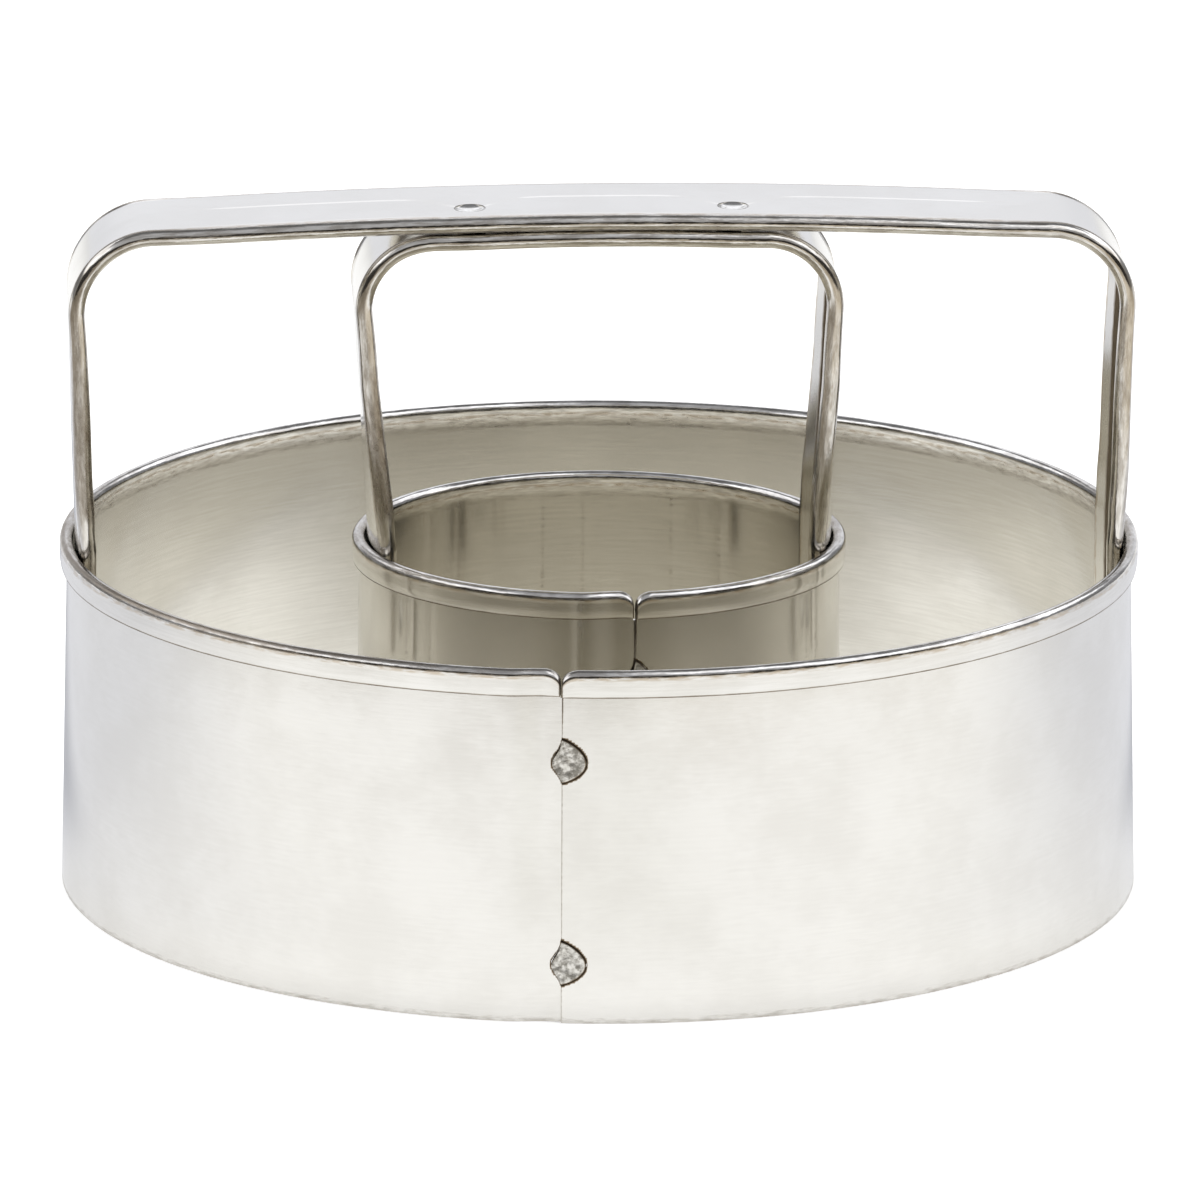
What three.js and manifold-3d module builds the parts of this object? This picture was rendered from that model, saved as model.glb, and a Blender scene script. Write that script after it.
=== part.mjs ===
// Doughnut cutter: two rings rolled from hemmed tinplate strip, one inside the other, each carried by
// its own hemmed strap handle, whose feet are dished to lie inside the rim. The smaller handle nests
// under the larger one, and spot welds hold it all.
// Millimetres, +Z up. The cutting edges stand on z = 0 and both handles run along X.

import * as THREE from "three";
import { mergeVertices } from "three/addons/utils/BufferGeometryUtils.js";
import Module from "manifold-3d";

const wasm = await Module();
wasm.setup();

// Rings
const outerRingRadius = 41.25; // over the hem
const innerRingRadius = 18.9; // over the hem
const ringHeight = 27;
const ringSheet = 0.3;
const rimBead = 1; // thickness over the rolled rim
const rimSwell = 1.2; // from the rim down to where the wall swells into the bead
const hemDepth = 2; // from the rim down to the hem's free edge
const hemOpening = 0.24; // space between the hem and the wall
const outerFlare = 0.54; // how far the cutting edge stands out from the wall's top
const innerFlare = 0.3;

// Ring seams: the strip's tail runs on under its head
const outerSeamAngle = -96.8; // degrees from +X
const innerSeamAngle = -84.3;
const seamLap = 5; // length of the tail under the head
const lapClearance = 0.1; // between the two layers
const joggleLength = 3; // over which the tail steps in by one layer
const hemEndGap = 0.15; // between the two ends of the hem
const hemCornerRadius = 1.4; // on the top corners of the hem's ends
const tailRelief = 0.3; // between the hem and the top of the tail
const tailRoot = 1.2; // length of the tail's root inside the strip
const tailThinning = 0.02; // taken off each face of the tail by the press

// Handles
const strapWidth = 11.6;
const strapSheet = 0.35;
const strapBead = 1.2; // thickness over the rounded edges
const strapHem = 2; // width of the turned-in edges
const handleRise = 26.15; // from the rim to the top of the outer handle
const footDepth = 14; // length of leg below the rim
const footClearance = 0.15; // between a foot and its rim
const footStand = 0.5; // straight length of the foot above the rim
const dishFade = 7; // length of leg above the rim in which the foot's dish runs out
const outerLean = 0.4; // how much wider a handle's shoulders are than its feet, on each side
const innerLean = 0.45;
const outerShoulderRadius = 6.7;
const innerShoulderRadius = 5.9;
const outerBow = 1; // rise of the top between its shoulders
const innerBow = 0.3;
const nestingClearance = 0.1; // between the two handles

// Spot welds
const weldGap = 0.12; // burnt line between a nugget and the sheets that it joins
const weldProud = 0.05;
const weldChamfer = 0.1;
const seamWeldHeight = 3.4;
const seamWeldHeadSide = 1.55; // reach over the strip's head
const seamWeldTailSide = 0.6; // reach over the strip's tail
const seamWeldFromEdge = 4.2; // lower weld's middle above the cutting edge
const seamWeldFromRim = 7.1; // upper weld's middle below the rim
const footWeldDiameter = 2.6;
const upperFootWeldDrop = 4.5; // below the rim
const lowerFootWeldDrop = 10.5;
const topWeldDiameter = 2.4;
const topWeldSpacing = 20;
const topWeldForward = 2.3; // from the strap's middle towards the front

// Facets
const outerRingSteps = 80;
const innerRingSteps = 54;
const joggleSteps = 3;
const foldSteps = 6;
const beadSteps = 5;
const acrossSteps = 6;
const dishSteps = 4;
const shoulderSteps = 8;
const bowSteps = 10;
const roundSteps = 16;
const cutterMargin = 1; // how far a cutter reaches past what it cuts

const tinplate = { color: 0xc9c7bf, roughness: 0.32, metalness: 1 };
const weldMetal = { color: 0x8f8c86, roughness: 0.6, metalness: 0.9 };

const rimRadius = rimBead / 2;
const rollHeight = ringHeight - rimRadius;
const swellHeight = ringHeight - rimSwell;
const beadRadius = strapBead / 2;
const layerStep = ringSheet + lapClearance;
const footBottom = ringHeight - footDepth;

const rings = {
  outer: {
    radius: outerRingRadius,
    flare: outerFlare,
    seam: THREE.MathUtils.degToRad(outerSeamAngle),
    steps: outerRingSteps,
  },
  inner: {
    radius: innerRingRadius,
    flare: innerFlare,
    seam: THREE.MathUtils.degToRad(innerSeamAngle),
    steps: innerRingSteps,
  },
};

// A curve known by its stations, each a point and a direction, so that a sweep has a ring at each one.
class Route extends THREE.Curve {
  constructor(stations) {
    super();
    this.stations = stations;
  }

  station(t) {
    return this.stations[Math.round(t * (this.stations.length - 1))];
  }

  getUtoTmapping(u) {
    return u;
  }

  getPoint(t, target = new THREE.Vector3()) {
    return target.copy(this.station(t).point);
  }

  getTangent(t, target = new THREE.Vector3()) {
    return target.copy(this.station(t).direction);
  }
}

function swept(shape, stations) {
  const settings = { steps: stations.length - 1, extrudePath: new Route(stations), curveSegments: 1 };
  return new THREE.ExtrudeGeometry(shape, settings);
}

function solid(geometry) {
  geometry.deleteAttribute("normal");
  geometry.deleteAttribute("uv");
  const merged = mergeVertices(geometry, 1e-4);
  const vertProperties = merged.attributes.position.array;
  const triVerts = new Uint32Array(merged.index.array);
  return new wasm.Manifold(new wasm.Mesh({ numProp: 3, vertProperties, triVerts }));
}

function meshOf(name, body, finish) {
  const made = body.getMesh();
  const geometry = new THREE.BufferGeometry();
  geometry.setAttribute("position", new THREE.BufferAttribute(made.vertProperties, 3));
  geometry.setIndex(new THREE.BufferAttribute(made.triVerts, 1));
  geometry.computeVertexNormals();
  const mesh = new THREE.Mesh(geometry, new THREE.MeshStandardMaterial(finish));
  mesh.name = name;
  return mesh;
}

function range(first, last, count) {
  return Array.from({ length: count + 1 }, (_, i) => first + ((last - first) * i) / count);
}

// Points on an arc, as [across, along] pairs.
function arcPoints(across, along, radius, first, last, count) {
  return range(first, last, count).map((a) => [across + radius * Math.cos(a), along + radius * Math.sin(a)]);
}

// The angle at which a circle is touched by a line from a point outside it.
function touchingAngle(across, along, radius, [x, y]) {
  return Math.atan2(y - along, x - across) + Math.acos(radius / Math.hypot(x - across, y - along));
}

function shapeOf(points) {
  return new THREE.Shape(points.map(([x, y]) => new THREE.Vector2(x, y)));
}

// A section of a ring's wall is drawn as [inward, height] pairs, inward from the hem's outer face.
// The sweep round +Z lays a shape's x along -Z and its y inward.
function wallShape(points) {
  return shapeOf(points.map(([inward, height]) => [-height, inward]));
}

function outerFaceInset(ring, height) {
  const taper = 1 - height / swellHeight;
  return ringSheet + hemOpening - ring.flare * taper;
}

function wallRadius(ring, height) {
  return ring.radius - outerFaceInset(ring, height);
}

function rimBore(ring) {
  return ring.radius - rimBead;
}

// Up the wall, which swells inward into the rolled bead, over the bead and down the hem.
function hemmedSection(ring) {
  const innerRoll = rimRadius - ringSheet;
  const flangeBottom = ringHeight - hemDepth;
  const edge = outerFaceInset(ring, 0);
  const swellOutside = [outerFaceInset(ring, swellHeight), swellHeight];
  const swellInside = [swellOutside[0] + ringSheet, swellHeight];
  const innerTouch = touchingAngle(rimRadius, rollHeight, innerRoll, swellOutside);
  const outerTouch = touchingAngle(rimRadius, rollHeight, rimRadius, swellInside);
  return wallShape([
    [edge + ringSheet, 0],
    [edge, 0],
    swellOutside,
    ...arcPoints(rimRadius, rollHeight, innerRoll, innerTouch, Math.PI, foldSteps / 2),
    [ringSheet, flangeBottom],
    [0, flangeBottom],
    ...arcPoints(rimRadius, rollHeight, rimRadius, Math.PI, outerTouch, foldSteps),
    swellInside,
  ]);
}

function tailSection(ring) {
  const top = ringHeight - hemDepth - tailRelief;
  const edgeInset = outerFaceInset(ring, 0);
  const topInset = outerFaceInset(ring, top);
  return wallShape([
    [edgeInset + tailThinning, 0],
    [topInset + tailThinning, top],
    [topInset + ringSheet - tailThinning, top],
    [edgeInset + ringSheet - tailThinning, 0],
  ]);
}

function roundStation(radius, angle) {
  return {
    point: new THREE.Vector3(radius * Math.cos(angle), radius * Math.sin(angle), 0),
    direction: new THREE.Vector3(-Math.sin(angle), Math.cos(angle), 0),
  };
}

// The strip starts with its head at the seam, goes once round, and steps in by a layer before it ends.
function stripStations(ring) {
  const end = ring.seam + 2 * Math.PI - hemEndGap / ring.radius;
  const stepEnd = end - tailRoot / ring.radius;
  const stepStart = stepEnd - joggleLength / ring.radius;
  const plain = range(ring.seam, stepStart, ring.steps).map((angle) => roundStation(ring.radius, angle));
  const joggle = range(0, 1, joggleSteps)
    .slice(1)
    .map((part) => {
      const drop = layerStep * THREE.MathUtils.smoothstep(part, 0, 1);
      return roundStation(ring.radius - drop, stepStart + part * (stepEnd - stepStart));
    });
  return [...plain, ...joggle, roundStation(ring.radius - layerStep, end)];
}

function tailStations(ring) {
  const root = ring.seam - (hemEndGap + tailRoot) / ring.radius;
  const tip = ring.seam + seamLap / ring.radius;
  const spacing = (2 * Math.PI) / ring.steps;
  const count = Math.ceil((tip - root) / spacing);
  return range(root, tip, count).map((angle) => roundStation(ring.radius - layerStep, angle));
}

// Extrudes a shape through a ring's wall: its x goes round the ring, its y goes up, and it runs outward.
function throughWall(shape, angle, height, from, to, bevel = 0) {
  const settings = {
    depth: to - from - 2 * bevel,
    curveSegments: roundSteps / 2,
    bevelEnabled: bevel > 0,
    bevelThickness: bevel,
    bevelSize: bevel,
    bevelOffset: -bevel,
    bevelSegments: 1,
  };
  const geometry = new THREE.ExtrudeGeometry(shape, settings);
  const around = new THREE.Vector3(-Math.sin(angle), Math.cos(angle), 0);
  const up = new THREE.Vector3(0, 0, 1);
  const outward = new THREE.Vector3(Math.cos(angle), Math.sin(angle), 0);
  const place = new THREE.Matrix4().makeBasis(around, up, outward);
  place.setPosition(outward.x * (from + bevel), outward.y * (from + bevel), height);
  geometry.applyMatrix4(place);
  return solid(geometry);
}

// What is cut from a square top corner to round it: side is 1 for the strip's head and -1 for its tail.
function cornerCutter(ring, side) {
  const r = hemCornerRadius;
  const angle = side > 0 ? ring.seam : ring.seam - hemEndGap / ring.radius;
  const pastEnd = -hemEndGap / 2;
  const outline = [
    [pastEnd, -r],
    ...arcPoints(r, -r, r, Math.PI, Math.PI / 2, foldSteps),
    [r, cutterMargin],
    [pastEnd, cutterMargin],
  ];
  const shape = shapeOf(outline.map(([x, y]) => [side * x, y]));
  const from = rimBore(ring) - layerStep - cutterMargin;
  return throughWall(shape, angle, ringHeight, from, ring.radius + cutterMargin);
}

// A nugget on a seam is pointed at its top and bottom, where the seam's edge runs out of it.
function seamWeldShape(grow) {
  const half = seamWeldHeight / 2 + grow;
  const head = 2 * (seamWeldHeadSide + grow);
  const tail = -2 * (seamWeldTailSide + grow);
  const shape = new THREE.Shape();
  shape.moveTo(0, -half);
  shape.quadraticCurveTo(head, 0, 0, half);
  shape.quadraticCurveTo(tail, 0, 0, -half);
  return shape;
}

const seamWeldHeights = { lower: seamWeldFromEdge, upper: ringHeight - seamWeldFromRim };
const footWeldHeights = {
  upper: ringHeight - upperFootWeldDrop,
  lower: ringHeight - lowerFootWeldDrop,
};

function seamWeldHole(ring, height) {
  const from = wallRadius(ring, height) - ringSheet - layerStep - cutterMargin;
  const to = wallRadius(ring, height) + cutterMargin;
  return throughWall(seamWeldShape(weldGap), ring.seam, height, from, to);
}

function seamWeld(ring, height) {
  const from = wallRadius(ring, height) - ringSheet - layerStep;
  const to = wallRadius(ring, height) + weldProud;
  return throughWall(seamWeldShape(0), ring.seam, height, from, to, weldChamfer);
}

// A round nugget along an axis, with its edges chamfered.
function roundNugget(diameter, from, to) {
  const r = diameter / 2;
  const profile = [
    [0, from],
    [r - weldChamfer, from],
    [r, from + weldChamfer],
    [r, to - weldChamfer],
    [r - weldChamfer, to],
    [0, to],
  ];
  const points = profile.map(([x, y]) => new THREE.Vector2(x, y));
  return new THREE.LatheGeometry(points, roundSteps);
}

function alongX(geometry, side, height) {
  geometry.rotateZ((-side * Math.PI) / 2);
  geometry.translate(0, 0, height);
  return solid(geometry);
}

function footWeld(ring, side, height, grow, reach) {
  const from = footReach(ring) - strapSheet - weldProud - reach;
  const to = wallRadius(ring, height) + weldProud + reach;
  return alongX(roundNugget(footWeldDiameter + 2 * grow, from, to), side, height);
}

function cutRing(ring) {
  let body = solid(swept(hemmedSection(ring), stripStations(ring)));
  body = body.subtract(cornerCutter(ring, 1)).subtract(cornerCutter(ring, -1));
  body = body.add(solid(swept(tailSection(ring), tailStations(ring))));
  for (const height of Object.values(seamWeldHeights)) {
    body = body.subtract(seamWeldHole(ring, height));
  }
  for (const height of Object.values(footWeldHeights)) {
    body = body.subtract(footWeld(ring, -1, height, weldGap, cutterMargin));
    body = body.subtract(footWeld(ring, 1, height, weldGap, cutterMargin));
  }
  return body;
}

// A strap's section as [across, inward] pairs, with each long edge turned in round a bead.
function strapSection() {
  const edge = strapWidth / 2 - beadRadius;
  const lip = strapWidth / 2 - strapHem;
  const inner = beadRadius - strapSheet;
  const half = Math.PI / 2;
  const right = [
    ...arcPoints(edge, beadRadius, beadRadius, -half, half, beadSteps),
    [lip, strapBead],
    [lip, strapBead - strapSheet],
    ...arcPoints(edge, beadRadius, inner, half, -half, beadSteps - 2),
  ];
  const left = right.map(([across, inward]) => [-across, inward]).reverse();
  const between = range(-edge, edge, acrossSteps).slice(1, -1);
  const outerFace = between.map((across) => [across, 0]);
  const innerFace = between.map((across) => [across, strapSheet]).reverse();
  return shapeOf([...right, ...innerFace, ...left, ...outerFace]);
}

// Half the distance between the outer faces of a handle's feet.
function footReach(ring) {
  return rimBore(ring) - footClearance;
}

// A foot is dished to its ring's curve, and the dish runs out above the rim.
function dishFeet(geometry, reach) {
  const points = geometry.attributes.position;
  for (let i = 0; i < points.count; i += 1) {
    const y = points.getY(i);
    const share = 1 - THREE.MathUtils.smoothstep(points.getZ(i), ringHeight, ringHeight + dishFade);
    const depth = share * (reach - Math.sqrt(reach * reach - y * y));
    points.setX(i, points.getX(i) - Math.sign(points.getX(i)) * depth);
  }
}

const outerTop = ringHeight + handleRise;
const innerTop = outerTop - strapBead - nestingClearance;

const handles = {
  outer: {
    ring: rings.outer,
    top: outerTop,
    lean: outerLean,
    shoulder: outerShoulderRadius,
    bow: outerBow,
  },
  inner: {
    ring: rings.inner,
    top: innerTop,
    lean: innerLean,
    shoulder: innerShoulderRadius,
    bow: innerBow,
  },
};

function arcStations(x, z, radius, first, last, count) {
  return range(first, last, count).map((angle) => ({
    x: x + radius * Math.cos(angle),
    z: z + radius * Math.sin(angle),
    angle,
  }));
}

// The outer face of a handle's right half, from the foot up to the middle of the top.
// The shoulder's arc touches the leg's line below it and the top's wide arc above it.
function halfHandle(handle) {
  const reach = footReach(handle.ring);
  const centreX = reach + handle.lean - handle.shoulder;
  const bowRadius = (centreX * centreX + handle.bow * handle.bow) / (2 * handle.bow);
  const bowHeight = handle.top - bowRadius;
  const centreZ = bowHeight + Math.sqrt((bowRadius - handle.shoulder) ** 2 - centreX * centreX);
  const bend = ringHeight + footStand;
  const first = touchingAngle(centreX, centreZ, handle.shoulder, [reach, bend]);
  const last = Math.atan2(centreZ - bowHeight, centreX);
  const shoulder = arcStations(centreX, centreZ, handle.shoulder, first, last, shoulderSteps);
  const top = arcStations(0, bowHeight, bowRadius, last, Math.PI / 2, bowSteps / 2);
  const dish = range(bend, ringHeight + dishFade, dishSteps).map((z) => ({
    x: reach - (z - bend) * Math.tan(first),
    z,
    angle: first,
  }));
  return [
    { x: reach, z: footBottom, angle: 0 },
    { x: reach, z: bend, angle: first / 2 },
    ...dish.slice(1),
    ...shoulder,
    ...top.slice(1),
  ];
}

// Up the left leg, over the top and down the right leg; the angle is that of the face's outward normal.
function handleStations(handle) {
  const right = halfHandle(handle);
  const left = right.map(({ x, z, angle }) => ({ x: -x, z, angle: Math.PI - angle }));
  return [...left, ...right.slice(0, -1).reverse()].map(({ x, z, angle }) => ({
    point: new THREE.Vector3(x, 0, z),
    direction: new THREE.Vector3(Math.sin(angle), 0, -Math.cos(angle)),
  }));
}

function topWeld(side, grow, reach) {
  const drop = (handle) => {
    const stations = halfHandle(handle);
    const bowEnd = stations[stations.length - 1 - bowSteps / 2];
    return handle.top - (handle.top - bowEnd.z) * (topWeldSpacing / 2 / bowEnd.x) ** 2;
  };
  const from = drop(handles.inner) - strapSheet - weldProud - reach;
  const to = drop(handles.outer) + weldProud + reach;
  const geometry = roundNugget(topWeldDiameter + 2 * grow, from, to);
  geometry.rotateX(Math.PI / 2);
  geometry.translate((side * topWeldSpacing) / 2, -topWeldForward, 0);
  return solid(geometry);
}

function cutHandle(handle) {
  const strap = swept(strapSection(), handleStations(handle));
  dishFeet(strap, footReach(handle.ring));
  let body = solid(strap);
  for (const side of [-1, 1]) {
    for (const height of Object.values(footWeldHeights)) {
      body = body.subtract(footWeld(handle.ring, side, height, weldGap, cutterMargin));
    }
    body = body.subtract(topWeld(side, weldGap, cutterMargin));
  }
  return body;
}

const cutter = new THREE.Group();
for (const [name, ring] of Object.entries(rings)) {
  const set = new THREE.Group();
  set.add(meshOf(`${name}_ring`, cutRing(ring), tinplate));
  set.add(meshOf(`${name}_handle`, cutHandle(handles[name]), tinplate));
  for (const [level, height] of Object.entries(seamWeldHeights)) {
    set.add(meshOf(`${name}_seam_weld_${level}`, seamWeld(ring, height), weldMetal));
  }
  for (const [level, height] of Object.entries(footWeldHeights)) {
    set.add(meshOf(`${name}_foot_weld_left_${level}`, footWeld(ring, -1, height, 0, 0), weldMetal));
    set.add(meshOf(`${name}_foot_weld_right_${level}`, footWeld(ring, 1, height, 0, 0), weldMetal));
  }
  cutter.add(set);
}
cutter.add(meshOf("top_weld_left", topWeld(-1, 0, 0), weldMetal));
cutter.add(meshOf("top_weld_right", topWeld(1, 0, 0), weldMetal));

export default cutter;
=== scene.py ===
"""Looks of a doughnut cutter: two rolled tinplate rings on nested strap handles, held by spot welds.

Sizes are in millimetres, in the part's own frame: the cutting edges stand on z = 0, the handles run
along X and the rings' seams face -Y. They become metres when a mesh is made.
"""

import logging
import math
from collections.abc import Callable, Mapping, Sequence
from dataclasses import dataclass, field
from enum import Enum
from functools import cached_property
from typing import Any

import bpy
import numpy as np
from mathutils import Matrix, Vector


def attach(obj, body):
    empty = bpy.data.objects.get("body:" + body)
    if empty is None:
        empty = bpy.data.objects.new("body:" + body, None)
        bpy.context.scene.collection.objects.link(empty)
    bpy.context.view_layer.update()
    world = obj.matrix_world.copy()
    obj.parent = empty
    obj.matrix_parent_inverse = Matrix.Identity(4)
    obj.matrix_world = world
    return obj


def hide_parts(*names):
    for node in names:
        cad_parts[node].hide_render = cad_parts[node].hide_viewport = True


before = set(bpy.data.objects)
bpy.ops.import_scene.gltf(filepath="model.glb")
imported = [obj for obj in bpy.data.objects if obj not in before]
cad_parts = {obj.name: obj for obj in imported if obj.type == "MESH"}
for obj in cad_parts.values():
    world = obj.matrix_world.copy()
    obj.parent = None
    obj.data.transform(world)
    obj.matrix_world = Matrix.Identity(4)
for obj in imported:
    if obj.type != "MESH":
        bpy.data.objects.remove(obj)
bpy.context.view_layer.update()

log = logging.getLogger("doughnut_cutter")

Array = np.ndarray
Colour = tuple[float, float, float, float]
Inputs = Mapping[int | str, Any]
Place = Callable[[Array, Array, Array], Array]
Socket = bpy.types.NodeSocket
Zone = tuple[float, float, float]

MM = 0.001
POINT_STEP = 0.02  # spacing of points on lines and arcs
CURVE_POINTS = 61  # points on a swelling curve
OUTLINE_POINTS = 241  # points on each side of a weld's outline
ZONE_SAMPLES = 8001  # places at which a grid's spacing is worked out
ZONE_GROWTH = 0.25  # growth of a grid's spacing with the distance from a zone
NOTHING = 1e-6  # a length that counts as none
BODY = "root"
SHARP_ANGLE = math.radians(38)
PLACE = "sheet_place"
MARKS = "sheet_marks"


class Slot(Enum):
    """The record's material slots."""

    TINPLATE = "tinplate"
    WELD = "weld"


class Side(Enum):
    """The left or right end of a handle, as a sign along X."""

    LEFT = -1
    RIGHT = 1


class Level(Enum):
    """The lower or the upper one of two welds."""

    LOWER = "lower"
    UPPER = "upper"


# Lines and grids


def smoothstep(share: Array) -> Array:
    """Eases from 0 to 1: 3 t squared less 2 t cubed, held at both ends.

    Args:
        share: How far along, 0 to 1.

    Returns:
        The eased share.
    """
    t = np.clip(share, 0.0, 1.0)
    return t * t * (3.0 - 2.0 * t)


def bell(away: Array, width: float) -> Array:
    """A bell curve: e to the power of less the square of a distance over a width."""
    return np.exp(-((away / width) ** 2))


def around(middle: float, reach: float, step: float) -> Zone:
    """A zone that reaches equally far to both sides of a place, with its spacing."""
    return (middle - reach, middle + reach, step)


def graded(first: float, last: float, coarse: float, zones: Sequence[Zone]) -> Array:
    """Places stations on a line, closer together in and near some zones.

    The spacing at a place is the least of coarse and, for each zone, the zone's own spacing plus a
    quarter of the distance to it. The stations stand at even steps of the sum of 1 / spacing.

    Args:
        first: Where the line starts.
        last: Where it ends.
        coarse: Spacing far from all zones.
        zones: Start, end and spacing of each zone.

    Returns:
        The stations, from first to last.
    """
    line = np.linspace(first, last, ZONE_SAMPLES)
    spacing = np.full_like(line, coarse)
    for start, end, step in zones:
        away = np.maximum(np.maximum(start - line, line - end), 0.0)
        spacing = np.minimum(spacing, step + ZONE_GROWTH * away)
    density = 1.0 / spacing
    total = np.concatenate([[0.0], np.cumsum(0.5 * (density[1:] + density[:-1]) * np.diff(line))])
    count = math.ceil(total[-1])
    return np.interp(np.linspace(0.0, total[-1], count + 1), total, line)


def snapped(stations: Array, places: Sequence[float]) -> Array:
    """Moves the nearest station to each of some places.

    Args:
        stations: Stations on a line.
        places: Where a station has to stand.

    Returns:
        The moved stations.
    """
    moved = stations.copy()
    for place in places:
        moved[np.argmin(np.abs(moved - place))] = place
    return moved


def line_points(start: Sequence[float], end: Sequence[float]) -> Array:
    """Points on a straight line.

    Args:
        start: Its first point.
        end: Its last point.

    Returns:
        Points, one to a row.
    """
    count = max(2, math.ceil(math.dist(start, end) / POINT_STEP))
    return np.linspace(start, end, count + 1)


def arc_points(centre: Sequence[float], radius: float, first: float, last: float) -> Array:
    """Points on an arc: the centre plus the radius times the cosine and sine of the turn.

    Args:
        centre: Its centre.
        radius: Its radius.
        first: Its first turn, in radians.
        last: Its last turn.

    Returns:
        Points, one to a row.
    """
    count = max(8, math.ceil(abs(last - first) * radius / POINT_STEP))
    turn = np.linspace(first, last, count + 1)
    return np.stack([centre[0] + radius * np.cos(turn), centre[1] + radius * np.sin(turn)], -1)


def swelling_points(start: Array, rise: Array, end: Array, finish: Array) -> Array:
    """Points on a cubic that leaves one point and reaches another in given directions.

    A Hermite curve: the ends and their slopes, weighted by cubics of the share along it.

    Args:
        start: Its first point.
        rise: Its direction there, a unit vector.
        end: Its last point.
        finish: Its direction there.

    Returns:
        Points, one to a row.
    """
    t = np.linspace(0.0, 1.0, CURVE_POINTS)[:, None]
    reach = np.linalg.norm(end - start)
    ends = (2 * t**3 - 3 * t**2 + 1) * start + (3 * t**2 - 2 * t**3) * end
    slopes = (t**3 - 2 * t**2 + t) * rise + (t**3 - t**2) * finish
    return ends + reach * slopes


def touching_turn(centre: Sequence[float], radius: float, point: Sequence[float], side: int = 1) -> float:
    """The turn at which a line from a point touches a circle.

    Args:
        centre: The circle's centre.
        radius: Its radius.
        point: A point outside it.
        side: 1 for the side further round from the point, -1 for the side before it.

    Returns:
        The turn in radians.
    """
    across, along = point[0] - centre[0], point[1] - centre[1]
    return math.atan2(along, across) + side * math.acos(radius / math.hypot(across, along))


class BentLine:
    """A bent line in a plane, known by closely spaced points, with a normal on its left."""

    def __init__(self, pieces: Sequence[Array]) -> None:
        """Joins pieces of line end to end.

        Args:
            pieces: Points of each piece; a piece may start where the last one ended.
        """
        points = np.concatenate(pieces)
        fresh = np.concatenate([[True], np.linalg.norm(np.diff(points, axis=0), axis=1) > NOTHING])
        self.points = points[fresh]
        lengths = np.linalg.norm(np.diff(self.points, axis=0), axis=1)
        self.along = np.concatenate([[0.0], np.cumsum(lengths)])
        slope = np.gradient(self.points, self.along, axis=0)
        slope /= np.linalg.norm(slope, axis=1, keepdims=True)
        self.normals = np.stack([-slope[:, 1], slope[:, 0]], -1)

    @property
    def length(self) -> float:
        """Its whole length."""
        return float(self.along[-1])

    def offset(self, along: Array, left: Array | float) -> tuple[Array, Array]:
        """Points beside the line: the point on it plus the left normal times an offset.

        Args:
            along: Lengths along the line.
            left: Offsets to the left of it.

        Returns:
            The first and the second coordinate of each point.
        """
        first, second = (np.interp(along, self.along, self.points[:, i]) for i in (0, 1))
        across, up = (np.interp(along, self.along, self.normals[:, i]) for i in (0, 1))
        scale = left / np.hypot(across, up)
        return first + across * scale, second + up * scale


@dataclass(frozen=True)
class Outline:
    """The round outline of a spot weld."""

    radius: float

    def reach(self, turn: Array) -> Array:
        """Distance from the middle to the outline: the same all round.

        Args:
            turn: Directions, in radians.

        Returns:
            One distance for each.
        """
        return np.full_like(turn, self.radius)

    def grown(self, gap: float) -> "Outline":
        """The outline with a gap added round it."""
        return Outline(self.radius + gap)


@dataclass(frozen=True)
class ShellOutline(Outline):
    """The outline of a weld on a seam: pointed at top and bottom, and fuller over the strip's head."""

    head: float
    tail: float
    sag: float = 0.14
    pinch: float = 0.6
    gap: float = 0.0

    @cached_property
    def table(self) -> tuple[Array, Array]:
        """Turns and distances of closely spaced points on the outline.

        With v from -1 at the bottom point to 1 at the top point, the head's side bulges by
        (1 - v squared) to the power 0.8, tipped downwards. The tail's side bulges by the same to the
        power 0.3, times a bell curve.

        Returns:
            The turns in rising order, and a distance for each.
        """
        v = np.linspace(-1.0, 1.0, OUTLINE_POINTS)
        lens = np.clip(1.0 - v * v, 0.0, None)
        right = self.head * lens**0.8 * (1.0 - self.sag * v)
        left = -self.tail * lens**0.3 * bell(v + self.sag, self.pinch)
        x = np.concatenate([right, left[::-1]])
        y = np.concatenate([v, v[::-1]]) * self.radius
        turn = np.arctan2(y, x)
        reach = np.hypot(x, y) + self.gap
        order = np.argsort(turn)
        return turn[order], reach[order]

    def reach(self, turn: Array) -> Array:
        """Distance from the middle to the outline, read from its table.

        Args:
            turn: Directions, in radians.

        Returns:
            One distance for each.
        """
        turns, distances = self.table
        return np.interp(turn, turns, distances, period=2.0 * math.pi)

    def grown(self, gap: float) -> "ShellOutline":
        """The outline with a gap added round it."""
        return ShellOutline(self.radius, self.head, self.tail, self.sag, self.pinch, self.gap + gap)


def round_stations(cells: Array) -> Array:
    """Finds the stations of a grid that touch any of some cells.

    Args:
        cells: One truth for each cell.

    Returns:
        One truth for each station.
    """
    padded = np.pad(cells, 1)
    return padded[:-1, :-1] | padded[:-1, 1:] | padded[1:, :-1] | padded[1:, 1:]


def cell_middles(corners: Array) -> Array:
    """The mean of the four corners of each cell of a grid."""
    return 0.25 * (corners[:-1, :-1] + corners[:-1, 1:] + corners[1:, :-1] + corners[1:, 1:])


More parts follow.
